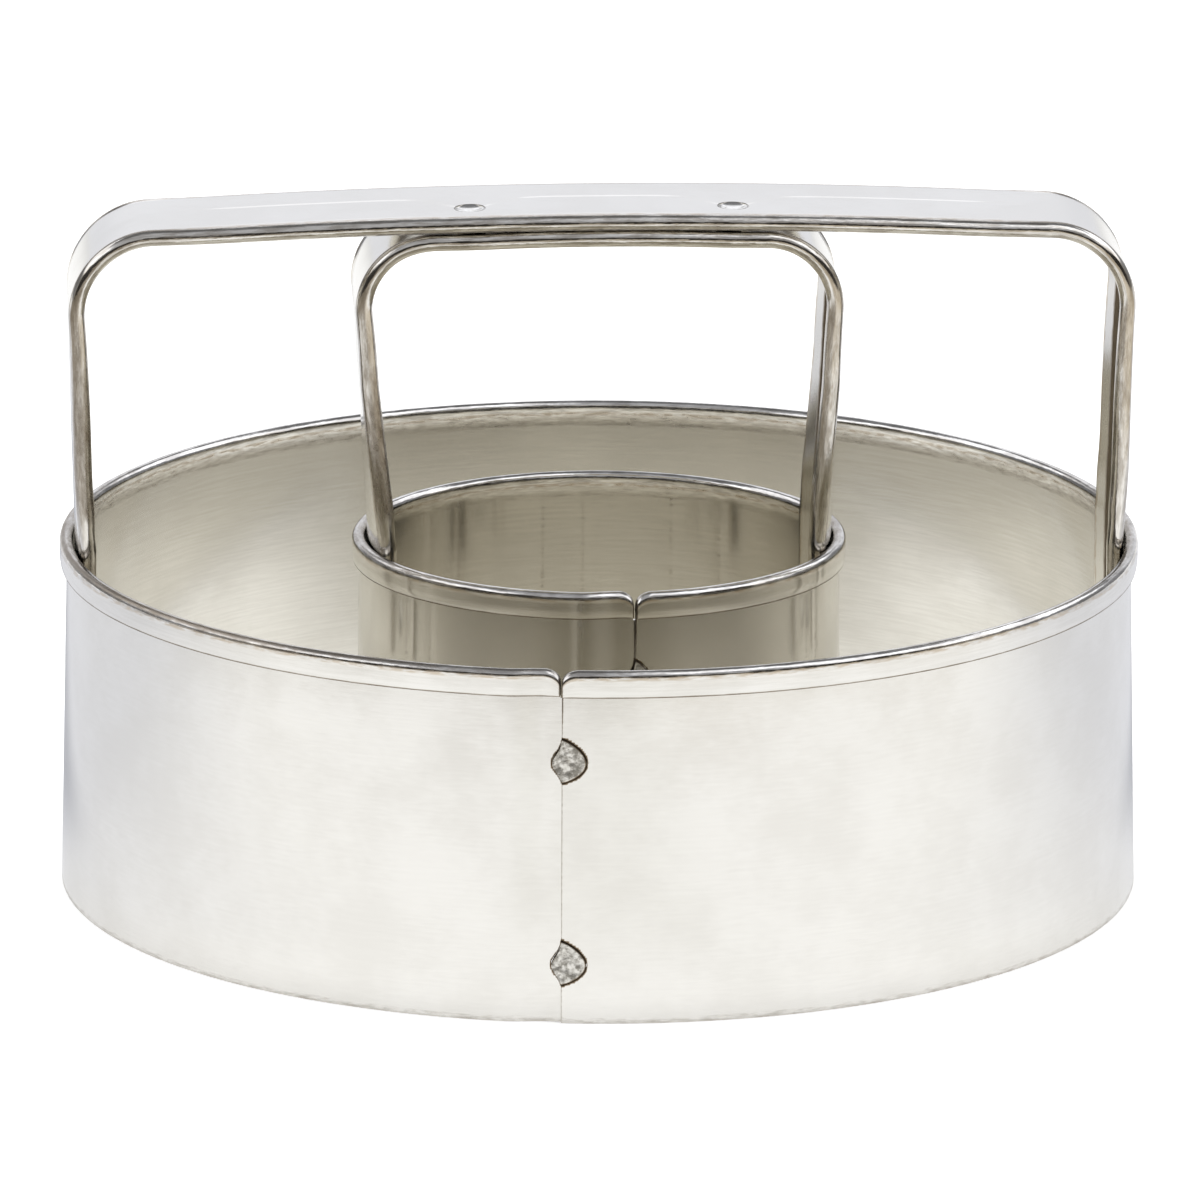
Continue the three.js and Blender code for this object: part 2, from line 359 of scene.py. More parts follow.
@dataclass
class SheetGrid:
    """Stations on a flat sheet before it is bent, rows across it and columns along it."""

    along: Array
    across: Array
    kept: Array = field(init=False)
    heat: Array = field(init=False)
    fold: Array = field(init=False)
    edge: Array = field(init=False)

    def __post_init__(self) -> None:
        """Starts with every cell kept and no marks of heat, folding, raw edges, darker bands or painted
        shade.
        """
        self.kept = np.ones((self.along.shape[0] - 1, self.along.shape[1] - 1), dtype=bool)
        self.heat = np.zeros_like(self.along)
        self.fold = np.zeros_like(self.along)
        self.edge = np.zeros_like(self.along)

    @classmethod
    def of(cls, along: Array, across: Array) -> "SheetGrid":
        """The grid of all pairs of two rows of stations.

        Args:
            along: Stations along the sheet.
            across: Stations across it.

        Returns:
            A new grid.
        """
        columns, rows = np.meshgrid(along, across)
        return cls(columns, rows)

    def cut(
        self,
        outline: Outline,
        along: float,
        across: float,
        halo: float,
        period: float,
        burn: float = 1.0,
    ) -> None:
        """Cuts a weld's hole, moves the cells' corners onto its outline and marks the heat round it.

        A cell goes where its middle is inside. The corners between kept and cut cells move straight
        away from or towards the hole's middle. The heat falls by e over each halo of distance.

        Args:
            outline: The hole's outline.
            along: Place of its middle along the sheet.
            across: Place of its middle across the sheet.
            halo: How far the heat reaches.
            period: Length after which the sheet comes round to the same place.
            burn: How strong the heat is at the hole's edge.
        """
        x = np.mod(self.along - along + period / 2.0, period) - period / 2.0
        y = self.across - across
        cell_x, cell_y = cell_middles(x), cell_middles(y)
        inside = np.hypot(cell_x, cell_y) < outline.reach(np.arctan2(cell_y, cell_x))
        inside &= np.abs(np.diff(x, axis=1)[:-1]) < period / 4.0
        self.kept &= ~inside
        edge = round_stations(inside) & round_stations(self.kept)
        distance = np.hypot(x, y)
        reach = outline.reach(np.arctan2(y, x))
        pull = np.where(edge, reach / np.maximum(distance, NOTHING), 1.0)
        self.along = self.along + x * (pull - 1.0)
        self.across = self.across + y * (pull - 1.0)
        away = np.where(edge, 0.0, np.maximum(distance - reach, 0.0))
        self.heat = np.maximum(self.heat, burn * np.exp(-away / halo))

    def faces(self) -> Array:
        """Four-cornered faces that close the sheet: a front, a back and the walls between them.

        Front stations are counted first, row by row, and back stations after them.

        Returns:
            Four station numbers for each face.
        """
        rows, columns = self.along.shape
        front = np.arange(rows * columns).reshape(rows, columns)
        back = front + rows * columns
        corners = (front[:-1, :-1], front[:-1, 1:], front[1:, 1:], front[1:, :-1])
        outer = np.stack([c[self.kept] for c in corners], -1)
        found = [outer, outer[:, ::-1] + rows * columns]
        padded = np.pad(self.kept, 1)
        upright = padded[1:-1, :]
        level = padded[:, 1:-1]
        starts = (
            (level[1:] & ~level[:-1], front[:, 1:], front[:, :-1], back[:, :-1], back[:, 1:]),
            (level[:-1] & ~level[1:], front[:, :-1], front[:, 1:], back[:, 1:], back[:, :-1]),
            (upright[:, 1:] & ~upright[:, :-1], front[:-1], front[1:], back[1:], back[:-1]),
            (upright[:, :-1] & ~upright[:, 1:], front[1:], front[:-1], back[:-1], back[1:]),
        )
        for edge, *wall in starts:
            found.append(np.stack([w[edge] for w in wall], -1))
        return np.concatenate(found)


# Meshes


def new_piece(
    name: str,
    points: Array,
    faces: Sequence[Sequence[int]],
    values: Mapping[str, Array],
) -> bpy.types.Object:
    """Makes a smooth mesh object whose place is in its mesh.

    Args:
        name: The piece's name.
        points: Points in millimetres, one to a row.
        faces: Point numbers of each face.
        values: Three-part values for each point, by name.

    Returns:
        The new object, at the origin.
    """
    mesh = bpy.data.meshes.new(name)
    mesh.from_pydata((points * MM).tolist(), [], faces)
    for key, value in values.items():
        attribute = mesh.attributes.new(key, "FLOAT_VECTOR", "POINT")
        attribute.data.foreach_set("vector", value.astype(np.float32).ravel())
    mesh.shade_smooth()
    mesh.set_sharp_from_angle(angle=SHARP_ANGLE)
    mesh.update()
    piece = bpy.data.objects.new(name, mesh)
    bpy.context.scene.collection.objects.link(piece)
    return piece


def sheet_piece(name: str, grid: SheetGrid, front: Array, back: Array) -> bpy.types.Object:
    """Makes a bent sheet from a grid and the places of its two faces.

    Args:
        name: The piece's name.
        grid: The sheet's grid, with its holes.
        front: Points of the front face, in the grid's order.
        back: Points of the back face.

    Returns:
        The new object.
    """
    faces = grid.faces()
    used, numbers = np.unique(faces, return_inverse=True)
    flat = np.stack([grid.along * MM, grid.across * MM, np.zeros_like(grid.along)], -1)
    marks = np.stack([grid.heat, grid.fold, grid.edge], -1)
    points = np.concatenate([front.reshape(-1, 3), back.reshape(-1, 3)])[used]
    place = np.concatenate([flat.reshape(-1, 3), flat.reshape(-1, 3) + (0.0, 0.0, 1.0)])[used]
    mark = np.concatenate([marks.reshape(-1, 3)] * 2)[used]
    return new_piece(name, points, numbers.reshape(-1, 4).tolist(), {PLACE: place, MARKS: mark})


def settle(piece: bpy.types.Object, node: str, finish: bpy.types.Material) -> None:
    """Puts a piece in the place of its CAD node and gives it its finish.

    Args:
        piece: The new piece.
        node: The CAD node that it stands for.
        finish: Its material.
    """
    piece.data.materials.append(finish)
    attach(piece, BODY)
    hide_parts(node)
    log.info("%s stands for %s: %d faces", piece.name, node, len(piece.data.polygons))


# Rings


@dataclass(frozen=True)
class RingWearAndShade:
    """How strongly and how widely raw cut edges, darker bands and painted shadow in the gaps at the hem
    and the seam show on a ring.

    Places on the rim are lengths across the sheet from the hem's free edge.
    """

    # A darker band on the rim, strongest towards rim_turn.
    rim: float = 0.62
    rim_turn: float = math.radians(-158.0)
    rim_least: float = 0.25
    rim_place: float = 1.85
    rim_width: float = 0.25
    # A darker band on the rim at the ring's two sides.
    sides: float = 0.42
    sides_place: float = 2.2
    sides_width: float = 0.45
    # A darker band on the inside, behind the hem.
    behind_hem: float = 0.3
    # Painted shadow of the gap under the hem's free edge, laid over its raw cut edge.
    hem_edge: float = 0.85
    # Where the darker band behind the hem starts and ends, with its eases.
    band_low: float = 2.3
    band_low_ease: float = 0.4
    band_high: float = 0.6
    band_high_ease: float = 0.3
    # Painted shadow in the seam's slit, laid over the raw cut edges of the strip's head and tail.
    seam_least: float = 0.45
    seam_start: float = 5.0
    seam_ease: float = 2.6
    end_start: float = 0.1
    end_ease: float = 0.2
    edge_width: float = 0.1
    cutting_edge: float = 0.35
    cutting_width: float = 0.12


@dataclass
class RolledRing:
    """A strip with its top edge hemmed over, rolled round and lapped at a seam."""

    name: str
    radius: float
    flare: float
    seam: float
    spacing: float
    ripples: Sequence[tuple[int, float, float]]
    creases: Sequence[tuple[float, float, float]]
    # Painted shade along the wall's creases: how dark, how wide, and how it fades out towards the rim.
    crease_shade: float = 0.0
    crease_shade_width: float = 0.32
    crease_shade_fade: float = 0.6
    height: float = 27.0
    sheet: float = 0.3
    rim_bead: float = 1.0
    rim_swell: float = 1.2
    swell_start: float = 0.5
    hem_depth: float = 2.0
    hem_opening: float = 0.24
    hem_turn: float = math.radians(12.0)
    hem_radius: float = 3.0
    seam_lap: float = 5.0
    layer_step: float = 0.4
    joggle: float = 3.0
    tail_root: float = 1.2
    end_gap: float = 0.13
    curl_length: float = 1.3
    curl_drop: float = 0.95
    curl_rise: float = 1.15
    tail_relief: float = 0.3
    weld_gap: float = 0.035
    weld_halo: float = 0.06
    seam_weld_heights: Mapping[Level, float] = field(
        default_factory=lambda: {Level.LOWER: 4.6, Level.UPPER: 20.05}
    )
    foot_weld_heights: Mapping[Level, float] = field(
        default_factory=lambda: {Level.LOWER: 16.5, Level.UPPER: 22.5}
    )
    seam_outline: ShellOutline = ShellOutline(1.7, 1.86, 0.76)
    foot_outline: Outline = Outline(1.3)
    # Raw cut edges, darker bands, and painted shadow in the gaps at the hem and the seam.
    wear_and_shade: RingWearAndShade = RingWearAndShade()
    foot_gap: float = 0.015
    foot_burn: float = 0.05
    fold_in: float = 0.5
    fold_end: float = 1.2
    fold_out: float = 0.45
    seam_zone: tuple[float, float] = (1.8, 0.16)
    foot_zone: tuple[float, float] = (1.5, 0.2)
    crease_zone: tuple[float, float] = (0.3, 0.18)

    @property
    def length(self) -> float:
        """Once round the ring, over the hem."""
        return 2.0 * math.pi * self.radius

    def inset(self, height: float) -> float:
        """How far the wall's outer face lies inside the hem's, at a height."""
        taper = 1.0 - height / (self.height - self.rim_swell)
        return self.sheet + self.hem_opening - self.flare * taper

    def wall_radius(self, height: float) -> float:
        """Radius of the wall's outer face at a height."""
        return self.radius - self.inset(height)

    @property
    def rim_bore(self) -> float:
        """Radius inside the rolled rim."""
        return self.radius - self.rim_bead

    @cached_property
    def section(self) -> BentLine:
        """The sheet's mid-line, as inward and upward distances, from the cutting edge to the hem's end.

        A straight wall, a cubic that swells inwards, an arc over the rim, and a hem whose lower part
        turns in towards the wall on a wide arc.

        Returns:
            The bent line.
        """
        half = self.sheet / 2.0
        roll = self.rim_bead / 2.0
        centre = (roll, self.height - roll)
        swell = self.height - self.rim_swell
        touch = touching_turn(centre, roll - half, (self.inset(swell) + half, swell))
        foot = np.array([self.inset(0.0) + half, 0.0])
        below = swell - self.swell_start
        leave = np.array([self.inset(below) + half, below])
        arc = arc_points(centre, roll - half, touch, math.pi)
        rise = (leave - foot) / np.linalg.norm(leave - foot)
        meet = np.array([-math.sin(touch), math.cos(touch)])
        wide = self.hem_radius
        bulge = self.height - self.hem_depth + wide * math.sin(self.hem_turn)
        closing = arc_points((half + wide, bulge), wide, math.pi, math.pi + self.hem_turn)
        hem = line_points(arc[-1], closing[0])
        swelling = swelling_points(leave, rise, arc[0], meet)
        return BentLine([line_points(foot, leave), swelling, arc, hem, closing])

    def step_in(self, along: Array) -> Array:
        """How far the strip lies inside its place: one layer after the joggle before its end, eased.

        Args:
            along: Lengths along the strip.

        Returns:
            Inward distances.
        """
        start = self.length - self.end_gap - self.tail_root - self.joggle
        return self.layer_step * smoothstep((along - start) / self.joggle)

    def ripple(self, along: Array) -> Array:
        """Slight flats and creases left by the rolls, all of them inwards.

        The flats are a sum of raised cosines of whole numbers of waves round the ring. The creases
        are bell curves of the distance round it.

        Args:
            along: Lengths along the strip.

        Returns:
            Inward distances.
        """
        turn = self.seam + along / self.radius
        inward = np.zeros_like(turn)
        for waves, depth, phase in self.ripples:
            inward += depth * (1.0 + np.cos(waves * turn + phase))
        for degrees, depth, width in self.creases:
            inward += depth * bell(self.from_crease(along, degrees), width)
        return inward

    def from_crease(self, along: Array, degrees: float) -> Array:
        """Distances round the ring from a crease, on either side of it.

        Args:
            along: Lengths along the strip.
            degrees: Where round the ring the crease is.

        Returns:
            One distance for each.
        """
        start = self.radius * (math.radians(degrees) - self.seam)
        return np.mod(along - start + self.length / 2.0, self.length) - self.length / 2.0

    def crease_shading(self, along: Array, across: Array) -> Array:
        """Painted shade along the creases of the wall: a bell curve of the distance to the nearest one.

        Args:
            along: Lengths along the strip.
            across: Lengths across the sheet.

        Returns:
            Shares from 0 to 1.
        """
        away = np.min([np.abs(self.from_crease(along, crease[0])) for crease in self.creases], axis=0)
        wall = smoothstep((self.height - self.rim_swell - across) / self.crease_shade_fade)
        return self.crease_shade * wall * bell(away, self.crease_shade_width)

    def curl(self, along: Array, across: Array) -> Array:
        """How far the rim is drawn down at the strip's two ends.

        The drop follows a quarter of an ellipse. It is whole on the rim, and falls evenly to nothing
        where the wall begins to swell and at the hem's free edge.

        Args:
            along: Lengths along the strip.
            across: Lengths across the sheet.

        Returns:
            Downward distances.
        """
        to_end = np.minimum(along, np.abs(self.length - self.end_gap - along))
        left = np.clip(1.0 - to_end / self.curl_length, 0.0, 1.0)
        drop = self.curl_drop * (1.0 - np.sqrt(1.0 - left**2))
        up = (across - self.height + self.rim_swell + self.swell_start) / self.curl_rise
        down = (self.section.length - across) / (self.hem_depth - self.rim_bead / 2.0)
        return drop * np.clip(np.minimum(up, down), 0.0, 1.0)

    def bare_edges_and_shade(self, along: Array, across: Array) -> Array:
        """Where cut edges show raw metal, where bands are darker, and where shadow is painted in gaps:
        bell curves of the distance to each.

        A thin darker band lies on the inside, all round behind the hem, between two eased steps. Another
        lies on the rim at the ring's two sides, as the fourth power of the turn's cosine. Painted shadow
        darkens the gap under the hem's free edge and the seam's slit; the seam's edge is darkest just
        under the hem. The rim's band is darkest on one side of the ring.

        Args:
            along: Lengths along the strip.
            across: Lengths across the sheet.

        Returns:
            Shares from 0 to 1.
        """
        wear_and_shade = self.wear_and_shade
        to_hem = self.section.length - across
        to_end = np.abs(self.length - self.end_gap - along)
        near_hem = smoothstep((across - self.height + wear_and_shade.seam_start) / wear_and_shade.seam_ease)
        seam_share = wear_and_shade.seam_least + (1.0 - wear_and_shade.seam_least) * near_hem
        end_start = self.height - self.hem_depth - wear_and_shade.end_start
        end_share = smoothstep((across - end_start) / wear_and_shade.end_ease)
        turn = self.seam + along / self.radius
        facing = 0.5 + 0.5 * np.cos(turn - wear_and_shade.rim_turn)
        rim_share = wear_and_shade.rim * (wear_and_shade.rim_least + (1.0 - wear_and_shade.rim_least) * facing**4)
        behind = smoothstep((across - self.height + wear_and_shade.band_low) / wear_and_shade.band_low_ease)
        behind = behind * smoothstep((self.height - wear_and_shade.band_high - across) / wear_and_shade.band_high_ease)
        marks = (
            wear_and_shade.behind_hem * behind,
            wear_and_shade.sides * np.cos(turn) ** 4 * bell(to_hem - wear_and_shade.sides_place, wear_and_shade.sides_width),
            rim_share * bell(to_hem - wear_and_shade.rim_place, wear_and_shade.rim_width),
            wear_and_shade.hem_edge * bell(to_hem, wear_and_shade.edge_width),
            seam_share * bell(along, wear_and_shade.edge_width),
            end_share * bell(to_end, wear_and_shade.edge_width),
            wear_and_shade.cutting_edge * bell(across, wear_and_shade.cutting_width),
        )
        return np.max(marks, axis=0)

    def at(self, along: Array, across: Array, left: float) -> Array:
        """Points of the rolled strip, off the sheet's middle by a distance to its left.

        The section gives an inward distance and a height for each length across. Inward distances
        come off the ring's radius, and lengths along turn round it from the seam.

        Args:
            along: Lengths along the strip from its head.
            across: Lengths across the sheet from the cutting edge.
            left: Offset from the sheet's middle, towards the wall's outer face.

        Returns:
            Points in millimetres.
        """
        inward, height = self.section.offset(across, left)
        radius = self.radius - inward - self.step_in(along) - self.ripple(along)
        turn = self.seam + along / self.radius
        height = np.maximum(height - self.curl(along, across), 0.0)
        return np.stack([radius * np.cos(turn), radius * np.sin(turn), height], -1)

    def on_wall(self, turn: float) -> Place:
        """A map from a weld's own plane to the ring's wall.

        Args:
            turn: Where round the ring the weld's middle is.

        Returns:
            A function of distances round the ring, heights and radii.
        """

        def place(x: Array, height: Array, radius: Array) -> Array:
            """Turns a distance round the ring into an angle there."""
            angle = turn + x / self.radius
            return np.stack([radius * np.cos(angle), radius * np.sin(angle), height], -1)

        return place

    def foot_along(self, side: Side) -> float:
        """Length along the strip at which a handle's foot is welded."""
        turn = 0.0 if side is Side.RIGHT else math.pi
        return self.radius * ((turn - self.seam) % (2.0 * math.pi))

    def grid(self) -> SheetGrid:
        """The strip's stations, close together at the rim, the seam and the welds, with its holes.

        Returns:
            The grid, with the heat of its welds and creases.
        """
        end = self.length - self.end_gap
        across_zones = [around(height, *self.seam_zone) for height in self.seam_weld_heights.values()]
        across_zones += [around(height, *self.foot_zone) for height in self.foot_weld_heights.values()]
        # The rim's roll, the hem and the hem's free edge
        across_zones += [(self.height - 1.4, self.section.length - 1.3, 0.09)]
        across_zones += [(self.section.length - 1.3, self.section.length, 0.25)]
        across_zones += [(self.section.length - 0.2, self.section.length, 0.06)]
        # The strip's head and the end of its rim, and their cut edges
        along_zones = [(0.0, 1.9, 0.12), (end - 1.6, self.length + 1.9, 0.12)]
        along_zones += [(0.0, 0.2, 0.05), (end - 0.2, end, 0.05)]
        along_zones += [around(self.foot_along(side), *self.foot_zone) for side in Side]
        if self.crease_shade:
            for degrees, _, _ in self.creases:
                place = self.radius * (math.radians(degrees) - self.seam) % self.length
                along_zones.append(around(place, *self.crease_zone))
        across = graded(0.0, self.section.length, 1.2, across_zones)
        along = graded(0.0, self.length + self.seam_lap, self.spacing, along_zones)
        tail_top = self.height - self.hem_depth - self.tail_relief
        across = snapped(across, [tail_top])
        along = snapped(along, [end])
        grid = SheetGrid.of(along, across)
        over_tail = grid.across[:-1, :-1] > tail_top - NOTHING
        over_tail &= grid.along[:-1, :-1] > end - NOTHING
        grid.kept &= ~over_tail
        hole = self.seam_outline.grown(self.weld_gap)
        for height in self.seam_weld_heights.values():
            grid.cut(hole, 0.0, height, self.weld_halo, self.length)
        hole = self.foot_outline.grown(self.foot_gap)
        for height in self.foot_weld_heights.values():
            for side in Side:
                place = self.foot_along(side)
                grid.cut(hole, place, height, self.weld_halo, self.length, self.foot_burn)
        # The painted shade along the creases rides on the heat mark.
        grid.heat = np.maximum(grid.heat, self.crease_shading(grid.along, grid.across))
        return grid

    def build(self, finish: bpy.types.Material) -> bpy.types.Object:
        """Makes the ring and puts it in its node's place.

        Args:
            finish: The sheet's material.

        Returns:
            The new piece.
        """
        grid = self.grid()
        half = self.sheet / 2.0
        front = self.at(grid.along, grid.across, half)
        back = self.at(grid.along, grid.across, -half)
        bead_start = smoothstep((grid.across - self.height + self.rim_swell) / self.fold_in)
        bead_end = smoothstep((self.section.length - grid.across - self.fold_end) / self.fold_out)
        grid.fold = bead_start * bead_end
        grid.edge = self.bare_edges_and_shade(grid.along, grid.across)
        piece = sheet_piece(f"{self.name}_rolled_ring", grid, front, back)
        settle(piece, f"{self.name}_ring", finish)
        return piece


# Handles


@dataclass
class StrapHandle:
    """A strap with both edges turned in round a bead, bent to a bowed U with dished feet."""

    name: str
    ring: RolledRing
    top: float
    lean: float
    shoulder: float
    bow: float
    width: float = 11.6
    sheet: float = 0.35
    bead: float = 1.27
    lip_gap: float = 0.05
    crown: float = math.radians(8.0)
    crown_radius: float = 9.0
    hem: float = 2.0
    foot_depth: float = 14.0
    foot_clearance: float = 0.15
    foot_stand: float = 0.5
    dish_start: float = 0.1
    dish_fade: float = 6.0
    dish_power: float = 1.5
    leg_swell: float = 0.12
    swell_in: float = 3.0
    swell_out: float = 12.0
    # How much darker the free legs' beads are, on the left leg and on the right.
    left_leg_darkening: float = 0.4
    right_leg_darkening: float = 0.2
    left_lean: float = 0.0
    lean_start: float = 1.5
    lean_ease: float = 4.0
    bend_middle: float = 0.8
    bend_lift: float = 0.12
    lift_start: float = 0.6
    lift_ease: float = 0.55
    # Darker lines along the beads' crests, stronger in the shoulders' bends; raw metal at the lips' cut
    # edges.
    crest_darkening: float = 0.42
    crest_width: float = 0.16
    bend_darkening: float = 0.3
    lip_bare: float = 0.6
    lip_width: float = 0.12
    press_depth: float = 0.05
    press_width: float = 2.6
    score_depth: float = 0.0
    score_width: float = 0.45
    score_across: float = 0.8
    score_fade: float = 6.0
    weld_gap: float = 0.035
    top_weld_gap: float = 0.012
    weld_halo: float = 0.06
    top_weld_across: float = -2.3
    top_weld_spacing: float = 20.0
    top_outline: Outline = Outline(1.2)
    fold_start: float = 0.5
    fold_in: float = 0.6
    fold_stop: float = 0.2
    fold_out: float = 0.4
    foot_zone: tuple[float, float] = (1.5, 0.2)
    top_zone: tuple[float, float] = (1.4, 0.2)
    bead_step: float = 0.1
    crest_step: float = 0.1
    score_step: float = 0.16

    @property
    def reach(self) -> float:
        """Half the distance between the outer faces of the feet."""
        return self.ring.rim_bore - self.foot_clearance

    @cached_property
    def section(self) -> BentLine:
        """The sheet's mid-line, as distances along Y and inwards, from one turned-in edge to the other.

        A straight face that is crowned along both sides, where wide arcs run into round beads. These
        end in straight lips, which close down on the face.

        Returns:
            The bent line.
        """
        half = self.sheet / 2.0
        quarter = math.pi / 2.0
        wide = self.crown_radius
        roll = (self.bead - wide * (1.0 - math.cos(self.crown))) / (1.0 + math.cos(self.crown))
        edge = self.width / 2.0 - roll
        depth = self.bead - roll
        flat = edge - (wide - roll) * math.sin(self.crown)
        lip = (self.width / 2.0 - self.hem, 1.5 * self.sheet + self.lip_gap)
        touch = touching_turn((edge, depth), roll - half, lip, -1) % (2.0 * math.pi)
        crest = arc_points((flat, wide), wide - half, -quarter, -quarter + self.crown)
        bead = arc_points((edge, depth), roll - half, -quarter + self.crown, touch)
        turned_in = line_points(bead[-1], lip)
        far = np.concatenate([line_points((0.0, half), crest[0]), crest, bead, turned_in])
        near = (far * (-1.0, 1.0))[::-1]
        return BentLine([near, far])

    @property
    def bow_radius(self) -> float:
        """Radius of the top's wide arc, from its rise over half its width."""
        half = self.reach + self.lean - self.shoulder
        return (half * half + self.bow * self.bow) / (2.0 * self.bow)

    @cached_property
    def path(self) -> BentLine:
        """The strap's outer face in the XZ plane, from the left foot over the top to the right foot.

        Each half is an upright foot, a leaning leg that touches the shoulder's arc, and the top's
        wide arc, which touches the shoulder's arc from outside.

        Returns:
            The bent line.
        """
        centre_x = self.reach + self.lean - self.shoulder
        bow_height = self.top - self.bow_radius
        drop = math.sqrt((self.bow_radius - self.shoulder) ** 2 - centre_x * centre_x)
        centre = (centre_x, bow_height + drop)
        bend = (self.reach, self.ring.height + self.foot_stand)
        first = touching_turn(centre, self.shoulder, bend)
        last = math.atan2(drop, centre_x)
        shoulder = arc_points(centre, self.shoulder, first, last)
        bow = arc_points((0.0, bow_height), self.bow_radius, last, math.pi / 2.0)
        foot = line_points((self.reach, self.ring.height - self.foot_depth), bend)
        right = np.concatenate([foot, line_points(bend, shoulder[0]), shoulder, bow])
        left = right * (-1.0, 1.0)
        return BentLine([left, right[::-1]])

    @property
    def flat_half(self) -> float:
        """Half the width of the face between the beads' crests."""
        return self.width / 2.0 - self.bead / 2.0

    @property
    def leg_end(self) -> float:
        """Length along the strap from a foot's end to the shoulder's bend."""
        return self.foot_depth + self.top - self.bow - self.ring.height - self.shoulder

    def from_middle(self, across: Array) -> Array:
        """Distances across the sheet from its middle line."""
        return np.abs(across - self.section.length / 2.0)

    def from_foot(self, along: Array) -> Array:
        """Lengths along the strap from its nearer end."""
        return np.minimum(along, self.path.length - along)

    def bent(self, along: Array) -> Array:
        """Share of a shoulder's bend at places along the strap, as a flat-topped bell over each bend."""
        middle = self.leg_end + self.bend_middle * self.shoulder
        return np.exp(-(((self.from_foot(along) - middle) / self.shoulder) ** 4))

    def legs(self, along: Array) -> Array:
        """Share of a free leg at places along the strap: one between the rim and the shoulder.

        Args:
            along: Lengths along the strap.

        Returns:
            Shares from 0 to 1.
        """
        place = self.from_foot(along)
        above_rim = smoothstep((place - self.foot_depth - self.foot_stand) / self.swell_in)
        return above_rim * smoothstep((self.leg_end + self.swell_in - place) / self.swell_out)

    def lift(self, along: Array, across: Array) -> Array:
        """How far the beads stand proud of the face, in the bends only."""
        beside = (self.from_middle(across) - self.flat_half + self.lift_start) / self.lift_ease
        return self.bend_lift * self.bent(along) * smoothstep(beside)

    def at(self, along: Array, across: Array, outward: float) -> Array:
        """Points of the bent strap, off the sheet's middle by a distance outwards.

        The section gives a place along Y and an inward distance, which is laid off square to the
        path. The free legs' beads are a little thicker. The feet are then dished: X shrinks by the
        ring's own curve over the strap's width, and this fades out above the rim as a power of the
        share left. The left leg leans out a little further than the path, evenly with the height.
        The top sinks a little round its welds.

        Args:
            along: Lengths along the strap from its left foot.
            across: Lengths across the sheet from the first lip's edge.
            outward: Offset from the sheet's middle, towards the outer face.

        Returns:
            Points in millimetres.
        """
        y, inward = self.section.offset(across, -outward)
        inward = inward * (1.0 + self.leg_swell * self.legs(along))
        x, z = self.path.offset(along, self.lift(along, across) - inward)
        share = np.clip(1.0 - (z - self.ring.height - self.dish_start) / self.dish_fade, 0.0, 1.0)
        share = share**self.dish_power
        depth = share * (self.reach - np.sqrt(self.reach**2 - y * y))
        leg_height = self.top - self.ring.height - self.shoulder
        leaning = np.clip((z - self.ring.height) / leg_height, 0.0, 1.0)
        past_weld = self.top_weld_spacing / 2.0 + self.lean_start
        leaning = self.left_lean * leaning * smoothstep((-x - past_weld) / self.lean_ease)
        return np.stack([x - np.sign(x) * depth - leaning, y, z - self.press(x, y)], -1)

    def press(self, x: Array, y: Array) -> Array:
        """How far the top is pressed down round its two welds, and in front of a line between them.

        Round the welds it is a bell curve of the distance. The line runs along the middle of the top
        and bends to each weld by a bell curve too; the step at it is eased.

        Args:
            x: Places along X.
            y: Places along Y.

        Returns:
            Downward distances.
        """
        beside = np.abs(x) - self.top_weld_spacing / 2.0
        away = beside**2 + (y - self.top_weld_across) ** 2
        bend = bell(beside, self.press_width)
        line = self.score_across + (self.top_weld_across - self.score_across) * bend
        step = smoothstep((line - y) / self.score_width + 0.5)
        level = smoothstep((self.reach - self.shoulder - np.abs(x)) / self.score_fade)
        return self.press_depth * np.exp(-away / self.press_width**2) + self.score_depth * step * level

    def top_height(self, x: Array) -> Array:
        """Height of the top's outer face, on its wide arc.

        Args:
            x: Places along X.

        Returns:
            One height for each.
        """
        return self.top - self.bow_radius + np.sqrt(self.bow_radius**2 - x * x)

    def grid(self) -> SheetGrid:
        """The strap's stations, close together at the beads, shoulders and welds, with its holes.

        Returns:
            The grid, with the heat of its welds.
        """
        middle = self.path.length / 2.0
        across_middle = self.section.length / 2.0
        weld_across = across_middle + self.top_weld_across
        lip = self.hem - self.bead / 2.0
        bead_length = math.pi * (self.bead - self.sheet) / 2.0 + 1.6
        below_rim = self.foot_depth - self.ring.height
        feet = [height + below_rim for height in self.ring.foot_weld_heights.values()]
        tops = [middle + side.value * self.top_weld_spacing / 2.0 for side in Side]
        along_zones = [around(foot, *self.foot_zone) for foot in feet]
        along_zones += [around(self.path.length - foot, *self.foot_zone) for foot in feet]
        along_zones += [around(top, *self.top_zone) for top in tops]
        # Where each leg passes the rim, and each shoulder
        rim, bend = self.foot_depth, self.leg_end
        bend_last = bend + 2.0 * self.bend_middle * self.shoulder
        for first, last, step in ((rim - 0.5, rim + 0.8, 0.15), (bend, bend_last, 0.45)):
            along_zones.append((first, last, step))
            along_zones.append((self.path.length - last, self.path.length - first, step))
